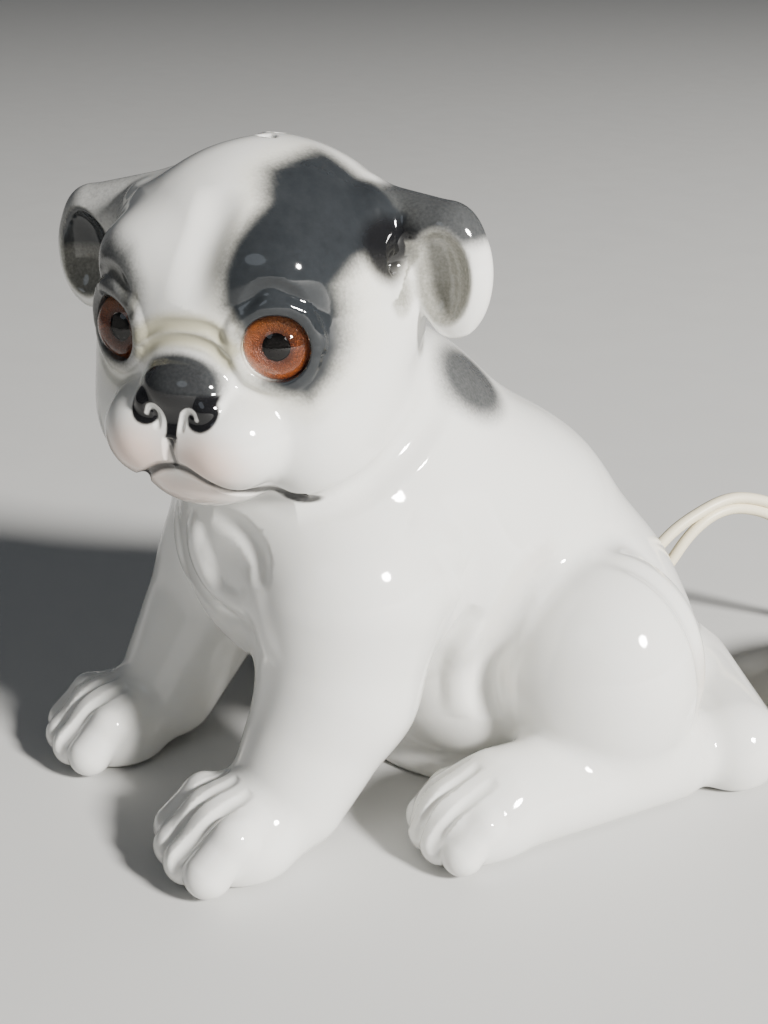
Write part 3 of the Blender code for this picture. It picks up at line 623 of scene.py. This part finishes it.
def porcelain_material():
    """White glazed porcelain under the sprayed and painted colours that the masks place, painted shade among
    them.
    """
    made = Wiring("glazed_porcelain")
    maths = made.maths

    def sprayed(name, grain=0.35):
        """A mask broken up by fine speckle where it is neither full nor empty, as an airbrush leaves it."""
        value = made.mask(name)
        loose = maths("MULTIPLY", maths("SUBTRACT", made.noise(1500, 2), 0.5), grain)
        room = maths("MULTIPLY", maths("MULTIPLY", value, maths("SUBTRACT", 1.0, value)), 4.0)
        return maths("ADD", value, maths("MULTIPLY", loose, room), clamp=True)

    colour = made.mix(made.noise(45), (0.775, 0.77, 0.735), (0.825, 0.822, 0.795))
    colour = made.mix(maths("MULTIPLY", sprayed("olive"), 0.72), colour, (0.44, 0.40, 0.22))
    colour = made.mix(maths("MULTIPLY", made.mask("blush"), 0.62), colour, (0.80, 0.54, 0.43))
    # slate paint; the same colour also lays the painted shade in the ear hollows, round the right eye and on
    # the right ear
    slate_and_shade = made.mix(made.noise(160, 5, 0.7), (0.010, 0.012, 0.0145), (0.036, 0.040, 0.044))
    colour = made.mix(sprayed("slate_and_shade"), colour, slate_and_shade)
    colour = made.mix(sprayed("soot", 0.2), colour, (0.008, 0.008, 0.009))
    colour = made.mix(maths("MULTIPLY", made.mask("stain"), 0.5), colour, (0.40, 0.27, 0.13))
    glaze = maths("ADD", maths("MULTIPLY", made.noise(80), 0.05), 0.045)
    made.look(Base_Color=colour, IOR=1.5, Subsurface_Weight=0.12, Subsurface_Scale=0.002,
              Roughness=maths("ADD", glaze, maths("MULTIPLY", made.mask("bare"), 0.6)),
              Coat_Weight=0.15, Coat_Roughness=0.03, Normal=made.bump(made.noise(130, 2), 0.12, 0.0006))
    made.shader.inputs["Subsurface Radius"].default_value = (0.9, 0.75, 0.6)
    made.material.diffuse_color = (0.87, 0.86, 0.82, 1)
    return made.material


def detail_zone(points):
    """Where the figure needs faces half the size: face, ears, toes."""
    side, fore, up = on_head(points).T
    face = (fore > 14) & (up > -42) & (up < 30) & (np.abs(side) < 36)
    ears = (np.abs(side) > 22) & (np.abs(side) < 62) & (np.abs(fore) < 20) & (up > -12) & (up < 34)
    x, y, z = points.T
    toes = (z < 22) & (y < 22) | (z < 20) & (y > 34) & (y < 76) & (np.abs(x) > 34)
    return face | ears | toes


def paint_zone(points):
    """Where painted lines need the smallest faces: nose, mouth and the rims of the eyes."""
    side, fore, up = on_head(points).T
    nose = (np.abs(side) < 13) & (fore > 34) & (up > -34) & (up < 2)
    mouth = (np.abs(side) < 27) & (fore > 18) & (up > -40) & (up < -22)
    eyes = (np.hypot(np.abs(side) - EYE_SIDE, up - EYE_UP) < 11) & (fore > 20)
    return nose | mouth | eyes


def build_figure(clay):
    cell = 1.25
    low, high = np.array([-70.0, -30.0, -3.0]), np.array([70.0, 160.0, 162.0])
    points, quads = net(near_grid(clay, low, high, cell), low, cell)
    faces = [tuple(q) for q in quads.tolist()]
    points, faces = refine(points, faces, detail_zone)
    points, faces = refine(points, faces, paint_zone)
    points = settle(clay, points, cell)
    normals = clay.slope(points, 0.15)
    normals /= np.linalg.norm(normals, axis=1, keepdims=True) + 1e-12

    mesh = bpy.data.meshes.new("puppy_porcelain")
    mesh.from_pydata(in_room(points).tolist(), [], faces)
    mesh.update()
    for name, values in paint_masks(points, normals).items():
        layer = mesh.attributes.new(name, "FLOAT", "POINT")
        layer.data.foreach_set("value", np.clip(values, 0, 1).astype(np.float32))
    mesh.shade_smooth()
    mesh.normals_split_custom_set_from_vertices(normals.tolist())
    mesh.materials.append(porcelain_material())
    puppy = bpy.data.objects.new("puppy_porcelain", mesh)
    ride_as(puppy, "figure", "glazed_porcelain", "porcelain_body")
    print("figure:", len(points), "points,", len(faces), "faces")


PATCH = [(9, 34), (12.5, 28), (10, 22), (8.6, 16), (9, 9), (12.4, 5.5), (13.6, -1), (17, -7.5), (21, -9.5),
         (25.5, -11), (29.5, -6), (31, 0), (30.5, 8), (29.5, 12.5), (31, 16.5), (36, 14.5), (39, 28),
         (32, 34), (24, 37), (14, 37)]
# outline of the grey round the right eye: partly the figure's grey patch, partly painted shade over the
# shaded right brow
RIGHT_PATCH_AND_SHADE = [(-11.5, -4), (-10.2, 4), (-10, 12), (-13, 18.5), (-20, 21), (-28, 15), (-31, 2), (-26, -8),
               (-16, -8)]
NOSTRIL_BAND = [(-9.6, -8.6), (-5, -7.4), (0, -7), (5, -7.4), (9.6, -8.6), (10, -12), (4.2, -13),
                (3.4, -14.6), (0.9, -19), (0, -21.6), (-0.9, -19), (-3.4, -14.6), (-4.2, -13), (-10, -12)]
HOOK = [(2.7, -16.8), (2.6, -14.6), (3.0, -12.7), (4.2, -11.7), (5.5, -12.0), (6.0, -13.2)]
NOSE_MIDDLE = 0.6


def ear_hollow(spots):
    """How far each place on the head is inside an ear's hollow, 1 at its middle; below zero outside it."""
    side = spots[:, 0]
    middle = np.where((side > 0)[:, None], *[np.array(cup_middle(*ear)) for ear in EARS])
    hollow = 1 - np.linalg.norm((spots - middle) / CUP, axis=1)
    mouth = 4.6 - nearest(spots, np.array([[35.0, 7, 14.4], [41.5, 6, 15.0]]))[0]
    hollow = np.maximum(hollow, np.where(side > 33, mouth / 6, -1))
    return np.where(np.abs(side) > 35.5, hollow, -1)


def spray_slate_and_shade(points, spots, hollow):
    """The patch over the left eye and ear, with grey in the ear's hollow that darkens towards its middle as
    painted shade; grey round the right eye and on the right ear, partly paint and partly painted shade; the
    nape spot and the nose.
    """
    side, fore, up = spots.T
    front = ease(fore, -4, 4) * ease(points[:, 2], 76, 84)
    left_ear = ease(side, 36, 40) * ease(up, -8, -4)
    in_hollow = ease(hollow, -0.12, 0.02)
    slate_and_shade = ease(within(side, up, PATCH), -2.6, 2.6) * front * (1 - left_ear)
    # grey round the right eye: partly its patch, partly painted shade over the shaded right brow
    slate_and_shade = np.maximum(slate_and_shade, 0.9 * ease(within(side, up, RIGHT_PATCH_AND_SHADE), -3.2, 3.4) * front)
    nape = 1 - np.linalg.norm((points - [19, 73, 102]) / [15, 17, 12], axis=1)
    slate_and_shade = np.maximum(slate_and_shade, 0.92 * ease(nape, -0.05, 0.5))
    ear_top = ease(up, 15, 20.5) * ease(side, 24, 30)
    edge = ease(-hollow, -0.3, 0.0) * ease(up - 0.25 * side, 8, 3)
    slate_and_shade = np.maximum(slate_and_shade, 0.95 * ear_top * (1 - 0.9 * edge))
    # painted shade: the grey in the left ear's hollow darkens towards the hollow's middle
    inner = 0.6 + 0.24 * ease(hollow, -0.05, 0.25)
    slate_and_shade = np.where(side > 30, slate_and_shade * (1 - in_hollow) + in_hollow * inner, slate_and_shade)
    # grey on the right ear's top and in its hollow: partly paint, partly painted shade
    far_ear = ease(-side, 26, 33) * ease(up, -8, -2)
    slate_and_shade = np.maximum(slate_and_shade, far_ear * (0.55 * ease(fore, -6, 3) * ease(up, 8, 14) + 0.8 * in_hollow))
    return np.maximum(slate_and_shade, 0.97 * ease(nose_top(side, up), -0.03, 0.2) * ease(fore, 32, 35))


def nose_top(side, up):
    return 1 - np.hypot((side - NOSE_MIDDLE) / 10.6, (up + 8) / 7.4)


def white_hooks(spots):
    """The thin white line that curls into each nostril from the lip."""
    side, _, up = spots.T
    reach = beside(np.abs(side - NOSE_MIDDLE), up, HOOK, (1.35, 0.9, 0.5))
    return ease(reach, -0.25, 0.2)


def brush_soot(spots, hooks, in_hollow):
    """Black on the nostrils, the lip line and its corners, and in the fold of the left ear."""
    side, fore, up = spots.T
    on_nose = ease(fore, 32, 35)
    across = side - NOSE_MIDDLE
    lobes = 3.9 - np.hypot(np.abs(across) - 6.5, (up + 12.2) * 1.05)
    black = ease(np.maximum(within(across, up, NOSTRIL_BAND), lobes), -0.3, 0.35) * ease(-up, 6.6, 9.2)
    soot = np.maximum(black, 0.4 * ease(nose_top(side, up), 0.0, 0.4)) * (1 - hooks) * on_nose

    low = ease(fore, 14, 18)
    out = np.abs(side) - 20.4
    leaf = 1 - np.hypot(out / 4.2, (up + 34.3 + 0.12 * out) / 1.6)
    lip = beside(np.abs(side), up, MOUTH, (0.8, 1.0, 0.9))
    groove = ease(0.5 - np.abs(side - 0.1), -0.3, 0.2) * ease(-up, 19, 20) * ease(up, -25.6, -24.6)
    fold = 1 - np.linalg.norm((spots - [34, 8.5, 17.5]) / [9, 8, 8.5], axis=1)
    for more in (0.93 * ease(lip, -0.45, 0.35) * low, 0.95 * ease(leaf, -0.15, 0.2) * low,
                 0.75 * groove * on_nose, 0.97 * ease(fold, -0.08, 0.42) * (1 - in_hollow) * (side > 24)):
        soot = np.maximum(soot, more)
    return soot


def rub_olive(points, spots, in_hollow):
    """Olive stain in the folds of the face, round the patch, under the eyes and in the ears."""
    side, fore, up = spots.T
    front = ease(fore, -4, 4) * ease(points[:, 2], 76, 84)
    on_ear = ease(np.abs(side), 36, 40) * ease(up, -8, -4)
    olive = in_hollow * 0.55
    for folds, wide in zip(BRIDGE_FOLDS, (1.8, 1.4)):
        olive = np.maximum(olive, ease(beside(side, up, folds, wide), -1.8, 1.2) * ease(fore, 27, 31))
    for folds in (LID_FOLD, CORNER_FOLD, INNER_FOLD):
        near = ease(beside(np.abs(side), up, folds, 0.5), -1.5, 0.6)
        olive = np.maximum(olive, 0.5 * near * ease(fore, 18, 24))
    halo = ease(within(side, up, PATCH), -6.5, -1.0) * front
    olive = np.maximum(olive, 0.3 * halo * (1 - on_ear))
    under_eye = 1 - np.hypot((np.abs(side) - 21) / 9, (up + 9.5) / 5)
    return np.maximum(olive, 0.35 * ease(under_eye, -0.3, 0.8) * front)


def rub_blush(spots):
    side, fore, up = spots.T
    lips = 1 - np.hypot((np.abs(side) - 8.5) / 11, (up + 22.5) / 8.5)
    chin = 1 - np.hypot(side / 16, (up + 31.5) / 5.5)
    return (ease(lips, -0.1, 0.8) + 0.7 * ease(chin, -0.1, 0.8)) * ease(fore, 20, 32)


def leave_stain(points):
    """Old dirt in the crease behind the thigh and along its front."""
    x, y, z = points.T
    crease = 1 - np.linalg.norm((points - [57, 119, 30]) / [9, 9, 17], axis=1)
    thigh = curve_through([(38, 84, 64), (37, 75, 56), (37, 71, 45), (39, 73, 33)])
    away = nearest(np.stack([np.abs(x), y, z], 1), thigh)[0]
    return np.maximum(0.5 * ease(crease, 0.1, 0.9), 0.22 * ease(5 - away, 0, 5))


def paint_masks(points, normals):
    """How much of each sprayed or brushed colour, painted shade included, lies at each point, and where the
    glaze was wiped off.
    """
    spots = on_head(points)
    hollow = ear_hollow(spots)
    in_hollow = ease(hollow, -0.12, 0.02)
    hooks = white_hooks(spots)
    on_hook = hooks * ease(spots[:, 1], 32, 35) * (spots[:, 2] < -8.5)
    return {"slate_and_shade": spray_slate_and_shade(points, spots, hollow) * (1 - on_hook),
            "soot": brush_soot(spots, hooks, in_hollow),
            "olive": rub_olive(points, spots, in_hollow),
            "blush": rub_blush(spots),
            "stain": leave_stain(points),
            "bare": ease(-points[:, 2], -0.25, 0.1) * ease(-normals[:, 2], 0.5, 0.95)}


def ride_as(obj, body, material_slot, *nodes):
    """Puts a piece in the scene on its body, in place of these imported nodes."""
    bpy.context.scene.collection.objects.link(obj)
    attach(obj, body)
    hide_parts(*nodes)


def closed_mesh(name, points, faces):
    """A smooth mesh with its faces turned outwards."""
    mesh = bpy.data.meshes.new(name)
    mesh.from_pydata(points, [], faces)
    bm = bmesh.new()
    bm.from_mesh(mesh)
    bmesh.ops.recalc_face_normals(bm, faces=bm.faces)
    bm.to_mesh(mesh)
    bm.free()
    mesh.shade_smooth()
    return mesh


def turned(name, profile, steps=48, wave=None):
    """A closed piece turned about its own Y, from (radius, height) points in millimetres."""
    rings, faces, points = [], [], []
    for r, h in profile:
        if r == 0:
            rings.append([len(points)])
            points.append((0, h, 0))
            continue
        rings.append(list(range(len(points), len(points) + steps)))
        for i in range(steps):
            t = 2 * pi * i / steps
            lift = wave(r, t) if wave else 0.0
            points.append((r * cos(t), h + lift, r * sin(t)))
    for low, high in zip(rings, rings[1:]):
        for i in range(steps):
            j = (i + 1) % steps
            if len(low) == 1:
                faces.append((low[0], high[i], high[j]))
            elif len(high) == 1:
                faces.append((low[i], high[0], low[j]))
            else:
                faces.append((low[i], high[i], high[j], low[j]))
    return closed_mesh(name, [tuple(c * MM for c in p) for p in points], faces)


def eye_glass_material():
    """Clear glass that lets lamps through, so that the iris behind it is lit."""
    made = Wiring("eye_glass")
    made.look(Base_Color=(1.0, 0.97, 0.93), Roughness=0.0, IOR=1.42, Transmission_Weight=1.0)
    mix = made.node("MixShader", Fac=made.node("LightPath").outputs["Is Shadow Ray"])
    made.feed(mix.inputs[1], made.shader.outputs["BSDF"])
    made.feed(mix.inputs[2], made.node("BsdfTransparent").outputs["BSDF"])
    made.feed(made.nodes["Material Output"].inputs["Surface"], mix.outputs["Shader"])
    made.material.diffuse_color = (0.9, 0.9, 0.9, 0.3)
    return made.material


def iris_material():
    """Amber enamel with fine foil grains and fibres running out from the pupil, darker at its rim, and a
    painted glow of light through the glass, redder towards its lower side.
    """
    made = Wiring("eye_iris")
    maths, ramp = made.maths, made.ramp
    split = made.node("SeparateXYZ", Vector=made.place)
    x, z = split.outputs["X"], split.outputs["Z"]
    radius = maths("SQRT", maths("ADD", maths("MULTIPLY", x, x), maths("MULTIPLY", z, z)))
    ring = ramp(maths("MULTIPLY", radius, 1 / (EYE_R * MM)), [
        (0.0, (0.02, 0.005, 0.001)), (0.36, (0.04, 0.011, 0.002)), (0.5, (0.10, 0.034, 0.006)),
        (0.8, (0.15, 0.055, 0.010)), (0.93, (0.06, 0.018, 0.004)), (1.0, (0.012, 0.005, 0.002))])
    fibre = made.node("CombineXYZ", X=maths("MULTIPLY", maths("ARCTAN2", z, x), 14.0),
                      Y=maths("MULTIPLY", radius, 420.0))
    rays = made.node("TexNoise", Scale=1.6, Detail=4.0, Vector=fibre.outputs["Vector"])
    lines = ramp(rays.outputs["Fac"], [(0.3, (0.45, 0.4, 0.36)), (0.7, (1.35, 1.3, 1.2))])
    foil = made.node("TexVoronoi", Scale=3600, Vector=made.place).outputs["Distance"]
    glints = ramp(foil, [(0.05, (1.9, 1.6, 1.2)), (0.35, (1.0, 1.0, 1.0)), (0.8, (0.6, 0.55, 0.5))])
    # painted glow: the lower half of the iris is made redder, as light coming through the glass dome would
    # light it
    warm = ramp(maths("MULTIPLY_ADD", z, -75.0), [(0.0, (1.0, 1.0, 1.0)), (0.5, (1.3, 0.8, 0.6))])
    colour = made.mix(0.75, ring, lines, "MULTIPLY")
    colour = made.mix(0.8, colour, glints, "MULTIPLY")
    colour = made.mix(0.8, colour, warm, "MULTIPLY")
    made.look(Base_Color=colour, Roughness=0.35, Metallic=0.25, Normal=made.bump(foil, 0.5, 0.0002))
    made.material.diffuse_color = (0.6, 0.2, 0.03, 1)
    return made.material


def build_eyes():
    """Each eye is a glass dome with the ring of the iris and the disc of the pupil set into its back."""
    glass, amber = eye_glass_material(), iris_material()
    black = new_material("eye_pupil", (0.0012, 0.001, 0.001), 0.12, spread=0.3, grain=2500)
    black.node_tree.nodes["Principled BSDF"].inputs["Specular IOR Level"].default_value = 0.15
    rise = 4.4
    bulge = (EYE_R**2 + rise**2) / (2 * rise)
    rings = 14
    dome = [(r, sqrt(bulge**2 - r * r) - bulge + rise)
            for r in (EYE_R * sin(i / rings * pi / 2) for i in range(rings + 1))]
    dome += [(EYE_R, -0.5), (EYE_R - 0.3, -0.9), (0, -0.9)]
    iris = [(IRIS_IN, -0.7), (3.4, -0.55), (5.6, -0.5), (6.6, -0.6), (6.85, -0.8), (6.85, -2.1),
            (IRIS_IN, -2.1), (IRIS_IN, -0.7)]
    pupil = [(0, -0.45), (1.4, -0.47), (2.1, -0.55), (PUPIL_R, -0.75), (PUPIL_R, -2.0), (0, -2.0)]

    def fibres(r, t):
        return 0.05 * sin(34 * t) if 3 < r < 6 else 0.0

    for s, name in ((1, "left_eye"), (-1, "right_eye")):
        axes, middle = eye_axes(s)
        place = Matrix.Translation(in_room(middle)) @ Matrix(axes.tolist()).transposed().to_4x4()
        for what, node, profile, wave, steps, look in (
                ("dome", "glass", dome, None, 48, glass),
                ("iris", "iris", iris, fibres, 72, amber),
                ("pupil", "pupil", pupil, None, 48, black)):
            mesh = turned(f"{name}_{what}", profile, steps, wave)
            mesh.materials.append(look)
            piece = bpy.data.objects.new(f"{name}_{what}", mesh)
            piece.matrix_world = place
            ride_as(piece, "figure", f"eye_{node}", f"{name}_{node}")


# Each slot: its colour, roughness, metallic, coat, spread, grain and bump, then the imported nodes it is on.
FINISHES = {
    "eye_putty": ((0.62, 0.58, 0.5), 0.8, 0, 0, 0.12, 700, 0.0003, ["left_eye_putty", "right_eye_putty"]),
    "plated_steel": ((0.52, 0.52, 0.5), 0.32, 1, 0, 0.14, 1200, 0.00005, [
        "mounting_strap", "terminal_screw_left", "terminal_screw_right", "rocker_pivot_pin",
        "switch_screw_1", "switch_screw_2", "plug_screw"]),
    "lamp_brass": ((0.62, 0.42, 0.16), 0.3, 1, 0, 0.16, 900, 0.00005, [
        "threaded_nipple", "lock_nut_lower", "lock_nut_upper", "centre_contact", "screw_shell",
        "terminal_left", "terminal_right", "switch_contact_strip", "switch_terminal_1",
        "switch_terminal_2"]),
    "brown_moulding": ((0.045, 0.018, 0.009), 0.28, 0, 0.25, 0.35, 260, 0.00004, [
        "holder_base_cap", "holder_sleeve", "switch_rocker"]),
    "insert_ceramic": ((0.74, 0.71, 0.63), 0.55, 0, 0, 0.06, 900, 0.00012, ["contact_insert"]),
    "bulb_metal": ((0.66, 0.65, 0.62), 0.34, 1, 0, 0.12, 1100, 0.00005, ["bulb_cap", "bulb_tip_contact"]),
    "bulb_black_glass": ((0.012, 0.012, 0.012), 0.15, 0, 0, 0.4, 900, 0.0, ["bulb_insulator"]),
    "filament": ((0.16, 0.16, 0.17), 0.5, 1, 0, 0.2, 3000, 0.0, ["bulb_filament"]),
    "cream_flex": ((0.72, 0.65, 0.47), 0.42, 0, 0, 0.07, 240, 0.00008, [
        "inner_lead_left", "inner_lead_right"]),
    "tie_wrap": ((0.78, 0.76, 0.68), 0.6, 0, 0, 0.08, 700, 0.0001, ["coil_tie"]),
    "cream_moulding": ((0.74, 0.67, 0.5), 0.3, 0, 0.2, 0.06, 180, 0.00005, [
        "switch_lower_housing", "switch_upper_housing", "plug_lower_half", "plug_upper_half"]),
    "nickel_plate": ((0.66, 0.64, 0.6), 0.2, 1, 0, 0.1, 1500, 0.00003, ["plug_pin_1", "plug_pin_2"]),
}


def finish_packed_nodes():
    """Gives every node that shows as it was packed its material; returns the flex's own."""
    for slot_name, (*look, nodes) in FINISHES.items():
        made = new_material(slot_name, *look)
        for node in nodes:
            wear(node, made)
    clear = eye_glass_material()
    clear.name = "bulb_glass"
    for node in ("bulb_glass", "bulb_stem"):
        wear(node, clear)
    return bpy.data.materials["cream_flex"]


def wear(node, made):
    mesh = bpy.data.objects[node].data
    mesh.materials.clear()
    mesh.materials.append(made)


STRAND_R, BESIDE = 1.62, 1.52  # a strand's radius, and how far its middle is from the flex's own


def even_path(points, spacing):
    """The same curve with its points about this far apart, and how far along each one is."""
    points = np.asarray(points, float)
    run = np.concatenate([[0], np.cumsum(np.linalg.norm(np.diff(points, axis=0), axis=1))])
    stops = np.linspace(0, run[-1], max(2, round(run[-1] / spacing)) + 1)
    return np.stack([np.interp(stops, run, points[:, i]) for i in range(3)], 1), stops


def lay_flex(name, route, look, twist, apart, spacing=2.0, sides=12):
    """Flat twin flex: two round insulated strands side by side, moulded together.

    twist gives the turn of its width from level, and apart each strand's distance from its middle, both
    from how far along it is and its whole length. Returns the piece, its path and its length in metres."""
    points, stops = even_path(curve_through(route, 20 * len(route)), spacing)
    ahead = np.gradient(points, axis=0)
    ahead /= np.linalg.norm(ahead, axis=1, keepdims=True)
    level = np.cross(ahead, [0, 0, 1.0])
    level /= np.linalg.norm(level, axis=1, keepdims=True)
    upright = np.cross(level, ahead)
    turn, half = twist(stops, stops[-1]), apart(stops, stops[-1])
    across = np.cos(turn)[:, None] * level + np.sin(turn)[:, None] * upright
    other = np.cross(across, ahead)
    angle = 2 * pi * np.arange(sides) / sides
    corners, faces = [], []
    for s in (1, -1):
        first = len(corners) * sides
        for p, a, o, h in zip(points, across, other, half):
            round_it = np.cos(angle)[:, None] * a + np.sin(angle)[:, None] * o
            corners.append(p + s * h * a + STRAND_R * round_it)
        for i in range(len(points) - 1):
            for j in range(sides):
                k = (j + 1) % sides
                low, high = first + i * sides, first + (i + 1) * sides
                faces.append((low + j, low + k, high + k, high + j))
        last = first + (len(points) - 1) * sides
        faces.append(tuple(range(first + sides - 1, first - 1, -1)))
        faces.append(tuple(range(last, last + sides)))
    mesh = closed_mesh(name, in_room(np.concatenate(corners)).tolist(), faces)
    mesh.materials.append(look)
    made = bpy.data.objects.new(name, mesh)
    return made, in_room(points).tolist(), float(stops[-1]) * MM


COIL = np.array([64.0, 192.0, 0.0])
LOW_LAYER, HIGH_LAYER, OVER_COIL = 4.6, 10.95, 17.6  # heights of the flex's middle
GOING_IN, GOING_UP, GOING_OVER = (25, 70), (840, 930), (1500, 1545, 1600)  # degrees wound by then


def coil_route():
    """Out of the switch, round to the coil, inwards in the lower layer, outwards in the upper one, and
    over the top to the plug. Angles run clockwise from the side away from the figure."""
    start, last, end = GOING_IN[0], GOING_OVER[0], GOING_OVER[-1]
    steps = []
    for turn in range(start, end + 1, 15):
        out = np.interp(turn, [*GOING_IN, *GOING_UP, *GOING_OVER[1:]], [43.5, 39.5, 32.55, 32.55, 38.1, 36.2])
        up = np.interp(turn, [*GOING_UP, last, end], [LOW_LAYER, HIGH_LAYER, HIGH_LAYER, OVER_COIL])
        steps.append((turn, out, up))
    steps += [(1612, 36, 17.7), (1624, 35.6, 17.8), (1636, 34.6, 18.4), (1648, 32.6, 19.3),
              (1661, 30.4, 20.4), (1676, 28.6, 21.2), (1690, 27.6, 21.6)]
    ring = [COIL + [r * cos(radians(-t)), r * sin(radians(-t)), z] for t, r, z in steps]
    return [(38, 238.9, 8.3), (48.6, 246.3, 8.3), (56, 251, 7.6), (65, 255, 6), (75, 256.6, 4.9),
            (85.5, 254.8, 4.6), (95, 249.2, 4.6), (102.4, 240.4, 4.6), (107, 229, 4.6), (109, 216, 4.6),
            (109, 204, 4.6), (108.8, 194, 4.6), (107.6, 184, 4.6), *ring, (57.5, 218.9, 21.4),
            (62, 219.6, 21.4)]


def build_flex(look):
    """The stretch from the figure to the switch, on edge at the hole, then the coiled one to the plug."""
    def lie_down(run, whole):
        return radians(90) * (1 - ease(run, 0.55 * whole, 0.92 * whole))

    def stand_up(run, _):
        return radians(90) * ease(run, 25, 75)

    def part_at_hole(run, _):
        return BESIDE + 2.0 * (1 - ease(run, 4, 26))

    def together(run, _):
        return np.full(len(run), BESIDE)

    from_figure = [(0, 139.4, 32.6), (0, 143.2, 36.3), (0, 149.2, 42.3), (0, 155.5, 46.3), (0, 162, 48.6),
                   (0, 169, 48.6), (0, 178.6, 45.4), (0.4, 187, 39.8), (1.4, 194.5, 32.2), (3, 201.5, 23.6),
                   (5.4, 208.2, 15.9), (8.8, 214.6, 10.6), (13.2, 220.4, 8.6), (18.2, 225.1, 8.3),
                   (24, 229.2, 8.3)]
    piece, path, first = lay_flex("flex_from_figure", from_figure, look, lie_down, part_at_hole)
    ride_as(piece, "figure", "cream_flex", "flex_to_switch")
    in_room((0, 141.5, 35)).tolist()
    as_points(path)
    piece, path, second = lay_flex("flex_to_plug_end", coil_route(), look, stand_up, together)
    ride_as(piece, "figure", "cream_flex", "flex_to_coil", "flex_coil", "flex_to_plug")
    in_room((51, 247.8, 8.3)).tolist()
    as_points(path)
    print("flex:", round(first, 3), round(second, 3))


def place_camera():
    """Ahead of the figure on its left, a little above it, looking down."""
    place, turn, lift = (0.3263, -0.1590, 0.2100), radians(65), radians(22)
    camera = bpy.data.cameras.new("camera")
    camera.lens = 55.37
    camera.sensor_width = 36.0
    camera.clip_start = 0.02
    holder = bpy.data.objects.new("camera", camera)
    back = Vector((sin(turn) * cos(lift), -cos(turn) * cos(lift), sin(lift)))
    right = Vector((cos(turn), sin(turn), 0))
    axes = Matrix((right, back.cross(right), back)).transposed()
    holder.matrix_world = Matrix.Translation(place) @ axes.to_4x4()
    bpy.context.scene.collection.objects.link(holder)
    bpy.context.scene.camera = holder


def add_light(name, place, size, power, colour):
    """A round soft light aimed at the middle of the figure."""
    light = bpy.data.lights.new(name, "AREA")
    light.shape = "DISK"
    light.size = size
    light.energy = power
    light.color = colour
    holder = bpy.data.objects.new(name, light)
    holder.location = place
    aim = Vector((0, 0, 0.06)) - Vector(place)
    holder.rotation_euler = aim.to_track_quat("-Z", "Y").to_euler()
    bpy.context.scene.collection.objects.link(holder)


def place_stage():
    """A dim room, a low warm sun-like key, a faint cool fill, and a plain paper floor."""
    world = bpy.data.worlds.new("studio")
    world.use_nodes = True
    air = world.node_tree.nodes["Background"].inputs
    air["Color"].default_value = (0.80, 0.84, 0.9, 1)
    air["Strength"].default_value = 0.1
    bpy.context.scene.world = world
    add_light("key", (2.05, 0.88, 1.24), 0.42, 190, (1.0, 0.975, 0.93))
    add_light("fill", (0.6, -0.9, 0.9), 0.5, 0.8, (0.80, 0.89, 1.0))
    half = 3.0
    floor = bpy.data.meshes.new("floor")
    floor.from_pydata([(-half, -half, 0), (half, -half, 0), (half, half, 0), (-half, half, 0)], [],
                      [(0, 1, 2, 3)])
    floor.materials.append(new_material("floor_paper", (0.62, 0.62, 0.61), 0.85, spread=0.01, grain=40))
    holder = bpy.data.objects.new("floor", floor)
    holder.location.z = -0.0001  # a hair below the feet, so that the two don't fight
    bpy.context.scene.collection.objects.link(holder)


place_camera()
place_stage()
build_figure(sculpt())
build_eyes()
build_flex(finish_packed_nodes())
